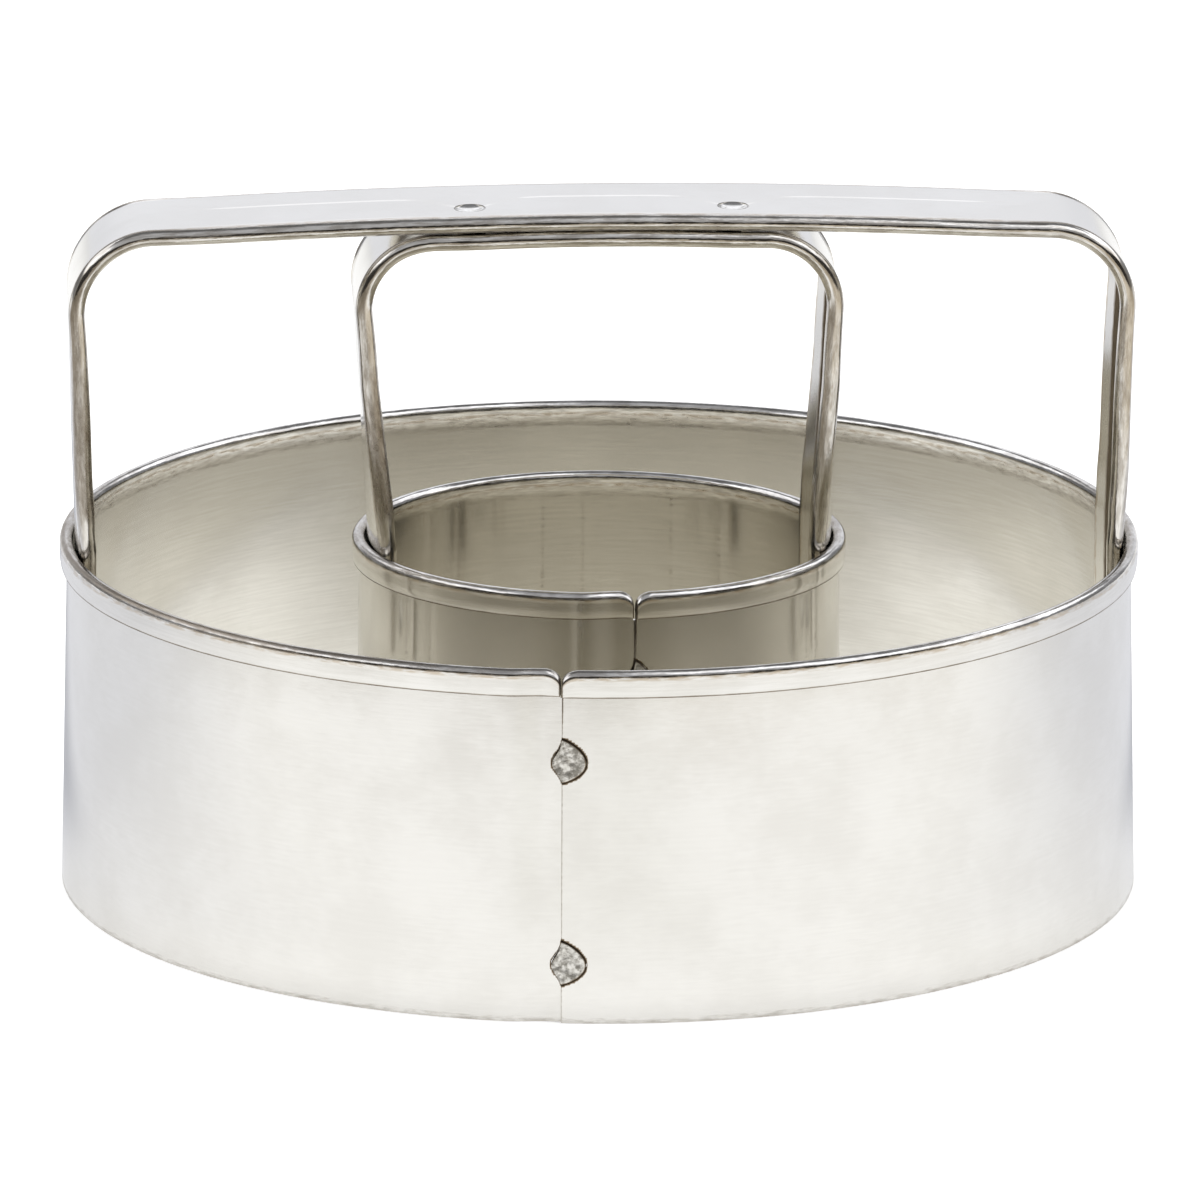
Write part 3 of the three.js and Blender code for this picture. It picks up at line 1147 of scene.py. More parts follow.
        # The two beads, the crests beside them, and the line between the top welds
        low_crest, high_crest = across_middle - self.flat_half, across_middle + self.flat_half
        far_lip = self.section.length - lip
        across_zones = [
            (lip, lip + bead_length, self.bead_step),
            (far_lip - bead_length, far_lip, self.bead_step),
            (low_crest - 0.1, low_crest + 0.7, self.crest_step),
            (high_crest - 0.7, high_crest + 0.1, self.crest_step),
            (weld_across - self.top_zone[0], across_middle + 1.3, self.score_step),
        ]
        along = graded(0.0, self.path.length, 0.7, along_zones)
        across = graded(0.0, self.section.length, 0.5, across_zones)
        grid = SheetGrid.of(along, across)
        whole = 4.0 * self.path.length
        hole = self.ring.foot_outline.grown(self.weld_gap)
        for foot in feet:
            grid.cut(hole, foot, across_middle, self.weld_halo, whole)
            grid.cut(hole, self.path.length - foot, across_middle, self.weld_halo, whole)
        hole = self.top_outline.grown(self.top_weld_gap)
        for top in tops:
            grid.cut(hole, top, weld_across, self.weld_halo, whole, burn=0.0)
        return grid

    def build(self, finish: bpy.types.Material) -> bpy.types.Object:
        """Makes the handle and puts it in its node's place.

        Args:
            finish: The sheet's material.

        Returns:
            The new piece.
        """
        grid = self.grid()
        half = self.sheet / 2.0
        front = self.at(grid.along, grid.across, half)
        back = self.at(grid.along, grid.across, -half)
        past_crest = self.from_middle(grid.across) - self.flat_half
        to_edge = np.minimum(grid.across, self.section.length - grid.across)
        bead_start = smoothstep((past_crest + self.fold_start) / self.fold_in)
        bead_end = to_edge - self.hem + self.bead / 2.0 + self.fold_stop
        grid.fold = bead_start * smoothstep(bead_end / self.fold_out)
        # Darker lines along the beads' crests, stronger in the bends, and darker free legs' beads, more
        # on the left; raw metal at the lips' cut edges.
        darkening = self.crest_darkening + self.bend_darkening * self.bent(grid.along)
        crest = darkening * bell(past_crest, self.crest_width)
        on_left = grid.along < self.path.length / 2.0
        leg = np.where(on_left, self.left_leg_darkening, self.right_leg_darkening)
        leg = leg * self.legs(grid.along) * grid.fold
        grid.edge = np.max([self.lip_bare * bell(to_edge, self.lip_width), crest, leg], axis=0)
        piece = sheet_piece(f"{self.name}_strap_handle", grid, front, back)
        settle(piece, f"{self.name}_handle", finish)
        return piece


# Welds


@dataclass
class Nugget:
    """A spot weld: an outline carried through the sheets, with a face pressed in at each end."""

    name: str
    node: str
    outline: Outline
    place: Place
    front: Callable[[Array, Array], Array]
    back: Callable[[Array, Array], Array]
    middle: tuple[float, float] = (0.0, 0.0)
    proud: float = 0.05
    sink: float = 0.05
    edge: float = 0.05
    mottle: float = 0.02
    phase: float = 0.0
    rounded: float = 0.93
    rounding: float = 0.07
    rings: int = 14
    crowding: float = 0.8
    turns: int = 72

    def relief(self, share: Array, x: Array, y: Array) -> Array:
        """How far a face stands proud: pressed in at the middle, rounded off at its edge, and mottled.

        The press is a parabola of the share of the way to the outline. The mottling is a sum of
        products of sines, whose wave numbers have no common factor, and fades towards the edge.

        Args:
            share: Share of the way from the middle to the outline.
            x: Places across the weld.
            y: Places up it.

        Returns:
            Distances outwards.
        """
        waves = np.sin(5.1 * x + 2.3 * y + self.phase) * np.sin(4.3 * y - 1.7 * x + 2.0 * self.phase)
        waves = waves + 0.6 * np.sin(9.7 * x - 3.1 * y + 3.0 * self.phase) * np.sin(8.9 * y + 4.0 * x)
        rounding = np.clip((share - self.rounded) / self.rounding, 0.0, 1.0) ** 2
        press = self.sink * (1.0 - share**2)
        return self.proud - press - self.edge * rounding + self.mottle * waves * (1.0 - share**4)

    def build(self, finish: bpy.types.Material) -> bpy.types.Object:
        """Makes the nugget from rings of points between the middles of its two faces.

        Args:
            finish: The weld's material.

        Returns:
            The new piece.
        """
        turn = np.linspace(0.0, 2.0 * math.pi, self.turns, endpoint=False)
        share = np.linspace(0.0, 1.0, self.rings + 1) ** self.crowding
        reach = self.outline.reach(np.mod(turn + math.pi, 2.0 * math.pi) - math.pi)
        x = share[:, None] * (reach * np.cos(turn))[None, :]
        y = share[:, None] * (reach * np.sin(turn))[None, :]
        lift = self.relief(share[:, None], x, y)
        across, up = x + self.middle[0], y + self.middle[1]
        front = self.place(across, up, self.front(across, up) + lift)
        back = self.place(across, up, self.back(across, up) - lift)
        rows = np.concatenate([front[1:], back[:0:-1]])
        shares = np.concatenate([share[1:], share[:0:-1]])
        points = np.concatenate([front[0, :1], rows.reshape(-1, 3), back[0, :1]])
        rim = np.concatenate([[0.0], np.repeat(shares, self.turns), [0.0]])
        marks = np.stack([np.zeros_like(rim), np.zeros_like(rim), rim], -1)
        number = 1 + np.arange(len(rows) * self.turns).reshape(len(rows), self.turns)
        after = np.roll(number, -1, axis=1)
        sides = np.stack([number[:-1], number[1:], after[1:], after[:-1]], -1).reshape(-1, 4)
        last = np.full(self.turns, len(points) - 1)
        cap = np.stack([np.zeros(self.turns, dtype=int), number[0], after[0]], -1)
        base = np.stack([number[-1], last, after[-1]], -1)
        faces = sides.tolist() + cap.tolist() + base.tolist()
        place = points * MM
        piece = new_piece(self.name, points, faces, {PLACE: place, MARKS: marks})
        settle(piece, self.node, finish)
        return piece


@dataclass
class PressedNugget(Nugget):
    """A spot weld under a deep dent that is longer than wide."""

    def relief(self, share: Array, x: Array, y: Array) -> Array:
        """How far a face stands proud: a parabola across the dent, and a flatter curve along it.

        Args:
            share: Share of the way from the middle to the outline; not used here.
            x: Places along the dent.
            y: Places across it.

        Returns:
            Distances outwards.
        """
        across = 1.0 - (y / self.outline.radius) ** 2
        along = 1.0 - (x / self.outline.radius) ** 4
        return self.proud - self.sink * across * along


@dataclass
class SpotWelds:
    """All the welds of one ring and its handle."""

    ring: RolledRing
    handle: StrapHandle
    foot_sink: float = 0.09

    def seam_nuggets(self) -> list[Nugget]:
        """The two welds on the ring's seam, through both layers.

        Returns:
            The lower one and the upper one.
        """
        ring = self.ring
        return [
            Nugget(
                name=f"{ring.name}_seam_nugget_{level.value}",
                node=f"{ring.name}_seam_weld_{level.value}",
                outline=ring.seam_outline,
                place=ring.on_wall(ring.seam),
                front=lambda x, z: ring.wall_radius(z),
                back=lambda x, z: ring.wall_radius(z) - ring.sheet - ring.layer_step,
                middle=(0.0, height),
                mottle=0.03,
                phase=height,
            )
            for level, height in ring.seam_weld_heights.items()
        ]

    def foot_nuggets(self) -> list[Nugget]:
        """The four welds between the ring and the handle's feet.

        Returns:
            The left pair and the right pair, each from below.
        """
        ring, handle = self.ring, self.handle
        return [
            Nugget(
                name=f"{ring.name}_foot_nugget_{side.name.lower()}_{level.value}",
                node=f"{ring.name}_foot_weld_{side.name.lower()}_{level.value}",
                outline=ring.foot_outline,
                place=ring.on_wall(0.0 if side is Side.RIGHT else math.pi),
                front=lambda x, z: ring.wall_radius(z),
                back=lambda x, z: handle.reach - handle.sheet + 0.0 * z,
                middle=(0.0, height),
                proud=0.0,
                sink=self.foot_sink,
                edge=0.02,
                mottle=0.008,
                phase=height + side.value,
            )
            for side in Side
            for level, height in ring.foot_weld_heights.items()
        ]

    def build(self, seam_finish: bpy.types.Material, foot_finish: bpy.types.Material) -> None:
        """Makes every weld of the set.

        Args:
            seam_finish: Material of the welds on the seam.
            foot_finish: Material of the welds at the feet.
        """
        for nugget in self.seam_nuggets():
            nugget.build(seam_finish)
        for nugget in self.foot_nuggets():
            nugget.build(foot_finish)


@dataclass
class TopWelds:
    """The two welds that hold the nested tops of the handles together."""

    outer: StrapHandle
    inner: StrapHandle
    sink: float = 0.22

    def build(self, finish: bpy.types.Material) -> None:
        """Makes both welds.

        Args:
            finish: The welds' material.
        """
        for side in Side:
            name = side.name.lower()
            PressedNugget(
                name=f"top_nugget_{name}",
                node=f"top_weld_{name}",
                outline=self.outer.top_outline,
                place=lambda x, y, z: np.stack([x, y, z], -1),
                front=lambda x, y: self.outer.top_height(x) - self.outer.press(x, y),
                back=lambda x, y: self.inner.top_height(x) - self.inner.press(x, y) - self.inner.sheet,
                middle=(side.value * self.outer.top_weld_spacing / 2.0, self.outer.top_weld_across),
                proud=0.0,
                sink=self.sink,
            ).build(finish)


# Finishes


class Desk:
    """Adds nodes to one tree and wires their sockets."""

    def __init__(self, tree: bpy.types.NodeTree) -> None:
        """Takes a tree to work on.

        Args:
            tree: The tree.
        """
        self.tree = tree

    @classmethod
    def cleared(cls, owner: bpy.types.Material | bpy.types.World) -> "Desk":
        """A desk on the emptied tree of a material or a world.

        Args:
            owner: What the tree belongs to.

        Returns:
            The desk.
        """
        owner.use_nodes = True
        owner.node_tree.nodes.clear()
        return cls(owner.node_tree)

    def add(self, kind: str, inputs: Inputs | None = None, **settings: Any) -> bpy.types.Node:
        """Adds one node.

        Args:
            kind: Blender's name for it.
            inputs: For each input, a socket to wire to it or a value to set on it.
            **settings: The node's own settings.

        Returns:
            The new node.
        """
        node = self.tree.nodes.new(kind)
        for key, value in settings.items():
            setattr(node, key, value)
        for key, value in (inputs or {}).items():
            if isinstance(value, Socket):
                self.tree.links.new(value, node.inputs[key])
            else:
                node.inputs[key].default_value = value
        return node

    def math(self, operation: str, first: Any, second: Any = 0.0, third: Any = 0.0) -> Socket:
        """Adds a sum on numbers.

        Args:
            operation: Blender's name for it.
            first: A socket or a number.
            second: A socket or a number.
            third: A socket or a number.

        Returns:
            The answer's socket.
        """
        inputs = {0: first, 1: second, 2: third}
        return self.add("ShaderNodeMath", inputs, operation=operation).outputs[0]

    def times(self, first: Any, second: Any) -> Socket:
        """The product of two numbers, each of them a socket or a value."""
        return self.math("MULTIPLY", first, second)

    def split(self, place: Socket) -> list[Socket]:
        """The three parts of a place or of a set of marks."""
        return list(self.add("ShaderNodeSeparateXYZ", {0: place}).outputs)

    def fall(self, value: Any, low: float, high: float, end: float = 0.0) -> Socket:
        """Eases from one down to a value while a number goes from low to high."""
        return self.ease(value, low, high, 1.0, end)

    def band(self, value: Any, rise: tuple[float, float], fall: tuple[float, float]) -> Socket:
        """One while a number lies between an eased rise and an eased fall, and zero elsewhere."""
        return self.times(self.ease(value, *rise), self.fall(value, *fall))

    def ease(self, value: Any, low: float, high: float, start: Any = 0.0, end: Any = 1.0) -> Socket:
        """Eases from one value to another while a number goes from low to high.

        Args:
            value: The number's socket.
            low: Where it starts.
            high: Where it ends.
            start: Value before it.
            end: Value after it.

        Returns:
            The eased value's socket.
        """
        inputs = {0: value, 1: low, 2: high, 3: start, 4: end}
        return self.add("ShaderNodeMapRange", inputs, interpolation_type="SMOOTHSTEP").outputs[0]

    def mix(self, share: Any, first: Any, second: Any, blend: str = "MIX") -> Socket:
        """Mixes two colours.

        Args:
            share: Share of the second.
            first: A socket or a colour.
            second: A socket or a colour.
            blend: Blender's name for the way to mix.

        Returns:
            The mixed colour's socket.
        """
        inputs = {0: share, 6: first, 7: second}
        return self.add("ShaderNodeMix", inputs, data_type="RGBA", blend_type=blend).outputs[2]

    def noise(self, place: Any, scale: Any, detail: float, rough: float = 0.55) -> Socket:
        """Adds smooth noise.

        Args:
            place: Where it is read.
            scale: Waves to a unit of place.
            detail: How many finer layers it has.
            rough: How strong these are.

        Returns:
            The noise's socket, about 0 to 1.
        """
        inputs = {"Vector": place, "Scale": scale, "Detail": detail, "Roughness": rough}
        return self.add("ShaderNodeTexNoise", inputs).outputs[0]


class Effect:
    """A shader node group that several finishes share."""

    def __init__(self, name: str, inputs: Mapping[str, Any], outputs: Mapping[str, str]) -> None:
        """Makes an empty group with named sockets.

        Args:
            name: The group's name.
            inputs: Name and starting value of each input: a number, a colour or None for a place.
            outputs: Name and kind of each output, Float or Color.
        """
        self.tree = bpy.data.node_groups.new(name, "ShaderNodeTree")
        for key, value in inputs.items():
            kind = "Vector" if value is None else "Color" if isinstance(value, tuple) else "Float"
            socket = self.tree.interface.new_socket(key, in_out="INPUT", socket_type=f"NodeSocket{kind}")
            if value is not None:
                socket.default_value = value
        for key, kind in outputs.items():
            self.tree.interface.new_socket(key, in_out="OUTPUT", socket_type=f"NodeSocket{kind}")
        self.desk = Desk(self.tree)
        self.inputs = self.desk.add("NodeGroupInput").outputs
        self.outputs = self.desk.add("NodeGroupOutput").inputs

    def give(self, key: str, socket: Socket) -> None:
        """Wires a socket to one of the group's outputs."""
        self.tree.links.new(socket, self.outputs[key])

    def on(self, desk: Desk, inputs: Inputs) -> bpy.types.NodeOutputs:
        """Places the group in a material.

        Args:
            desk: The material's desk.
            inputs: A socket or a value for each input.

        Returns:
            The group's outputs there.
        """
        return desk.add("ShaderNodeGroup", inputs, node_tree=self.tree).outputs


def rolling_grain() -> Effect:
    """Fine lines left along a sheet by the mill's rolls: noise stretched along the sheet.

    Returns:
        The group.
    """
    wants = {"Place": None, "Pitch": 2400.0, "Stretch": 30.0}
    effect = Effect("rolling_grain", wants, {"Grain": "Float"})
    desk = effect.desk
    along, across, side = desk.split(effect.inputs["Place"])
    along = desk.math("DIVIDE", along, effect.inputs["Stretch"])
    drawn = desk.add("ShaderNodeCombineXYZ", {0: along, 1: across, 2: side}).outputs[0]
    effect.give("Grain", desk.noise(drawn, effect.inputs["Pitch"], 3.0, 0.6))
    return effect


def tin_clouds() -> Effect:
    """Cloudy patches and small flecks in a tin coat: two sizes of noise, the smaller one cut to spots.

    Returns:
        The group.
    """
    wants = {"Place": None, "Clouds": 90.0, "Flecks": 1500.0}
    effect = Effect("tin_clouds", wants, {"Cloud": "Float", "Fleck": "Float"})
    desk = effect.desk
    effect.give("Cloud", desk.noise(effect.inputs["Place"], effect.inputs["Clouds"], 4.0, 0.6))
    flecks = desk.noise(effect.inputs["Place"], effect.inputs["Flecks"], 2.0, 0.5)
    effect.give("Fleck", desk.ease(flecks, 0.62, 0.74))
    return effect


def heat_stain() -> Effect:
    """Metal burnt beside a weld, and raw cut edges with painted shadow in their gaps: dark at the edge
    and brown further out, broken up by noise.

    Returns:
        The group.
    """
    wants = {
        "Colour": (0.8, 0.8, 0.8, 1.0),
        "Heat": 0.0,
        "Break": 0.5,
        "Brown": (0.3, 0.2, 0.1, 1.0),
        "Darkest": (0.1, 0.1, 0.1, 1.0),
    }
    effect = Effect("heat_stain", wants, {"Colour": "Color", "Mask": "Float"})
    desk = effect.desk
    broken = desk.math("MULTIPLY_ADD", effect.inputs["Break"], 0.5, -0.25)
    heat = desk.math("ADD", effect.inputs["Heat"], broken)
    heat = desk.times(heat, desk.ease(effect.inputs["Heat"], 0.02, 0.2))
    brown = desk.ease(heat, 0.12, 0.6)
    colour = desk.mix(brown, effect.inputs["Colour"], effect.inputs["Brown"])
    effect.give("Colour", desk.mix(desk.ease(heat, 0.6, 0.95), colour, effect.inputs["Darkest"]))
    effect.give("Mask", brown)
    return effect


def fold_wear() -> Effect:
    """Marks of folding: dull and bright streaks along a bead, and a brown film at both of its sides.

    Returns:
        The group.
    """
    wants = {
        "Colour": (0.8, 0.8, 0.8, 1.0),
        "Fold": 0.0,
        "Break": 0.5,
        "Streak": 0.5,
        "Dull": (0.55, 0.53, 0.5, 1.0),
        "Bright": (0.8, 0.8, 0.8, 1.0),
        "Film": (0.4, 0.33, 0.25, 1.0),
    }
    effect = Effect("fold_wear", wants, {"Colour": "Color", "Mask": "Float", "Chatter": "Float"})
    desk = effect.desk
    fold = effect.inputs["Fold"]
    side = desk.times(desk.times(fold, desk.math("SUBTRACT", 1.0, fold)), 4.0)
    mask = desk.times(desk.ease(effect.inputs["Break"], 0.38, 0.62), side)
    streak = effect.inputs["Streak"]
    drawn = desk.mix(desk.ease(streak, 0.36, 0.64), effect.inputs["Dull"], effect.inputs["Bright"])
    colour = desk.mix(fold, effect.inputs["Colour"], drawn)
    effect.give("Colour", desk.mix(mask, colour, effect.inputs["Film"]))
    effect.give("Mask", mask)
    effect.give("Chatter", desk.times(streak, fold))
    return effect


@dataclass(frozen=True)
class Effects:
    """The groups that the finishes share."""

    grain: Effect
    clouds: Effect
    stain_and_shade: Effect
    wear: Effect


@dataclass(frozen=True)
class MetalFinish:
    """What every metal starts and ends with; each kind adds layers of its own in between."""

    name: str
    relief: float = 0.00003

    def begin(self) -> tuple[bpy.types.Material, Desk]:
        """A new material, and a desk on its emptied tree."""
        material = bpy.data.materials.new(self.name)
        return material, Desk.cleared(material)

    def read(self, desk: Desk) -> tuple[Socket, list[Socket]]:
        """Reads what a piece says about its sheet.

        Args:
            desk: The material's desk.

        Returns:
            The place on the sheet, and its three marks.
        """
        place = desk.add("ShaderNodeAttribute", attribute_name=PLACE).outputs["Vector"]
        marks = desk.add("ShaderNodeAttribute", attribute_name=MARKS).outputs["Vector"]
        return place, desk.split(marks)

    def end(self, desk: Desk, colour: Socket, rough: Socket, height: Socket) -> None:
        """Adds the metal itself and wires it to the output.

        Args:
            desk: The material's desk.
            colour: Its colour.
            rough: Its roughness.
            height: Heights that show as a bump.
        """
        wants = {"Height": height, "Strength": 1.0, "Distance": self.relief}
        bump = desk.add("ShaderNodeBump", wants).outputs[0]
        wants = {"Base Color": colour, "Metallic": 1.0, "Roughness": rough, "Normal": bump}
        metal = desk.add("ShaderNodeBsdfPrincipled", wants).outputs[0]
        desk.add("ShaderNodeOutputMaterial", {"Surface": metal})


@dataclass(frozen=True)
class TinplateFinish(MetalFinish):
    """Satin tinplate with the mill's grain, a cloudy coat, stained welds, worn folds, raw cut edges,
    darker bands, and painted shade in creases and in the gaps at hems and seams.
    """

    light: Colour = (0.85, 0.835, 0.795, 1.0)
    dark: Colour = (0.81, 0.793, 0.75, 1.0)
    brown: Colour = (0.24, 0.17, 0.1, 1.0)
    darkest: Colour = (0.05, 0.04, 0.03, 1.0)
    film: Colour = (0.62, 0.54, 0.44, 1.0)
    brushed: Colour = (0.66, 0.64, 0.59, 1.0)
    # Colours of the edge mark: brown for raw cut edges, then the darkest tone, which paints the shadow in
    # the gaps under the hems and in the seams' slits, and the darker lines on rims and crests.
    edge_brown: Colour = (0.32, 0.275, 0.22, 1.0)
    darkening: Colour = (0.1, 0.08, 0.06, 1.0)
    fold_dull: Colour = (0.54, 0.52, 0.49, 1.0)
    fold_bright: Colour = (0.84, 0.825, 0.79, 1.0)
    roughness: float = 0.15
    pitch: float = 3800.0
    stretch: float = 5.0
    relief: float = 0.0000015
    clouds: float = 110.0
    flecks: float = 2600.0
    grain_share: float = 0.2
    cloud_share: float = 0.8
    fleck_share: float = 0.3
    fleck_height: float = 0.4
    contrast: tuple[float, float] = (0.38, 0.62)
    smoother: float = 0.03
    rougher: float = 0.04
    rough_worn: float = 0.08
    rough_bare: float = 0.2
    rough_burnt: float = 0.25
    brush: float = 0.0
    brush_inside: float = 0.0
    brush_pitch: float = 4400.0
    brush_stretch: float = 24.0
    chatter: float = 30.0
    streak_pitch: float = 1900.0
    streak_stretch: float = 6.0

    def make(self, effects: Effects) -> bpy.types.Material:
        """Makes the material.

        Args:
            effects: The shared groups.

        Returns:
            The new material.
        """
        material, desk = self.begin()
        place, (heat, fold, edge) = self.read(desk)
        wants = {"Place": place, "Pitch": self.pitch, "Stretch": self.stretch}
        grain = effects.grain.on(desk, wants)["Grain"]
        wants = {"Place": place, "Clouds": self.clouds, "Flecks": self.flecks}
        clouds = effects.clouds.on(desk, wants)
        cloudy = desk.times(clouds["Cloud"], self.cloud_share)
        tone = desk.math("MULTIPLY_ADD", grain, self.grain_share, cloudy)
        colour = desk.mix(desk.ease(tone, *self.contrast), self.light, self.dark)
        colour = desk.mix(desk.times(clouds["Fleck"], self.fleck_share), colour, self.dark)
        wants = {"Place": place, "Pitch": self.brush_pitch, "Stretch": self.brush_stretch}
        brush = effects.grain.on(desk, wants)["Grain"]
        side = desk.split(place)[2]
        share = desk.math("MULTIPLY_ADD", side, self.brush_inside - self.brush, self.brush)
        share = desk.times(desk.ease(brush, *self.contrast), share)
        colour = desk.mix(share, colour, self.brushed)
        wants = {"Place": place, "Pitch": self.streak_pitch, "Stretch": self.streak_stretch}
        streak = effects.grain.on(desk, wants)["Grain"]
        wants = {
            "Colour": colour,
            "Fold": fold,
            "Break": grain,
            "Streak": streak,
            "Dull": self.fold_dull,
            "Bright": self.fold_bright,
            "Film": self.film,
        }
        worn = effects.wear.on(desk, wants)
        # The edge mark: raw cut edges, darker bands on rims, inside and crests, and painted shadow in the
        # gaps at hems and seams.
        wants = {
            "Colour": worn["Colour"],
            "Heat": edge,
            "Break": grain,
            "Brown": self.edge_brown,
            "Darkest": self.darkening,
        }
        bared_and_shaded = effects.stain_and_shade.on(desk, wants)
        # The heat mark: weld heat stains, and the painted shade along the creases.
        wants = {
            "Colour": bared_and_shaded["Colour"],
            "Heat": heat,
            "Break": grain,
            "Brown": self.brown,
            "Darkest": self.darkest,
        }
        stained = effects.stain_and_shade.on(desk, wants)
        rough = desk.ease(tone, 0.3, 0.7, self.roughness - self.smoother, self.roughness + self.rougher)
        rough = desk.math("MULTIPLY_ADD", worn["Mask"], self.rough_worn, rough)
        rough = desk.math("MULTIPLY_ADD", bared_and_shaded["Mask"], self.rough_bare, rough)
        rough = desk.math("MULTIPLY_ADD", stained["Mask"], self.rough_burnt, rough)
        height = desk.math("MULTIPLY_ADD", clouds["Fleck"], self.fleck_height, grain)
        height = desk.math("MULTIPLY_ADD", worn["Chatter"], self.chatter, height)
        self.end(desk, stained["Colour"], rough, height)
        return material


@dataclass(frozen=True)
class WeldFinish(MetalFinish):
    """Dull fused metal, mottled light and dark, with a burnt edge."""

    light: Colour = (0.8, 0.78, 0.73, 1.0)
    dark: Colour = (0.36, 0.34, 0.3, 1.0)
    brown: Colour = (0.22, 0.16, 0.1, 1.0)
    darkest: Colour = (0.05, 0.04, 0.03, 1.0)
    smooth: float = 0.3
    rough: float = 0.5
    clouds: float = 2300.0
    flecks: float = 4700.0
    fleck_share: float = 0.6

    def make(self, effects: Effects) -> bpy.types.Material:
        """Makes the material.

        Args:
            effects: The shared groups.

        Returns:
            The new material.
        """
        material, desk = self.begin()
        place, (_, _, rim) = self.read(desk)
        wants = {"Place": place, "Clouds": self.clouds, "Flecks": self.flecks}
        clouds = effects.clouds.on(desk, wants)
        colour = desk.mix(desk.ease(clouds["Cloud"], 0.4, 0.64), self.light, self.dark)
        colour = desk.mix(desk.times(clouds["Fleck"], self.fleck_share), colour, self.dark)
        wants = {
            "Colour": colour,
            "Heat": desk.ease(rim, 0.9, 1.0),
            "Break": clouds["Cloud"],
            "Brown": self.brown,
            "Darkest": self.darkest,
        }
        stained = effects.stain_and_shade.on(desk, wants)
        rough = desk.ease(clouds["Cloud"], 0.35, 0.65, self.smooth, self.rough)
        height = desk.math("ADD", clouds["Cloud"], clouds["Fleck"])
        self.end(desk, stained["Colour"], rough, height)
        return material


# Studio


@dataclass(frozen=True)
class SoftBox:
    """A soft lamp over the cutter that lights the floor and isn't mirrored in the metal."""

    name: str
    height: float
    size: float
    level: float

    def build(self) -> bpy.types.Object:
        """Makes the lamp.

        Its power is pi squared times the height squared times the level, so that white paper under
        it would shine with that level.

        Returns:
            The new lamp.
        """
        lamp = bpy.data.lights.new(self.name, "AREA")
        lamp.shape = "SQUARE"
        lamp.size = self.size
        lamp.energy = (math.pi * self.height) ** 2 * self.level
        holder = bpy.data.objects.new(self.name, lamp)
        holder.location = (0.0, 0.0, self.height)
        holder.visible_camera = False
        holder.visible_glossy = False
        bpy.context.scene.collection.objects.link(holder)
        return holder


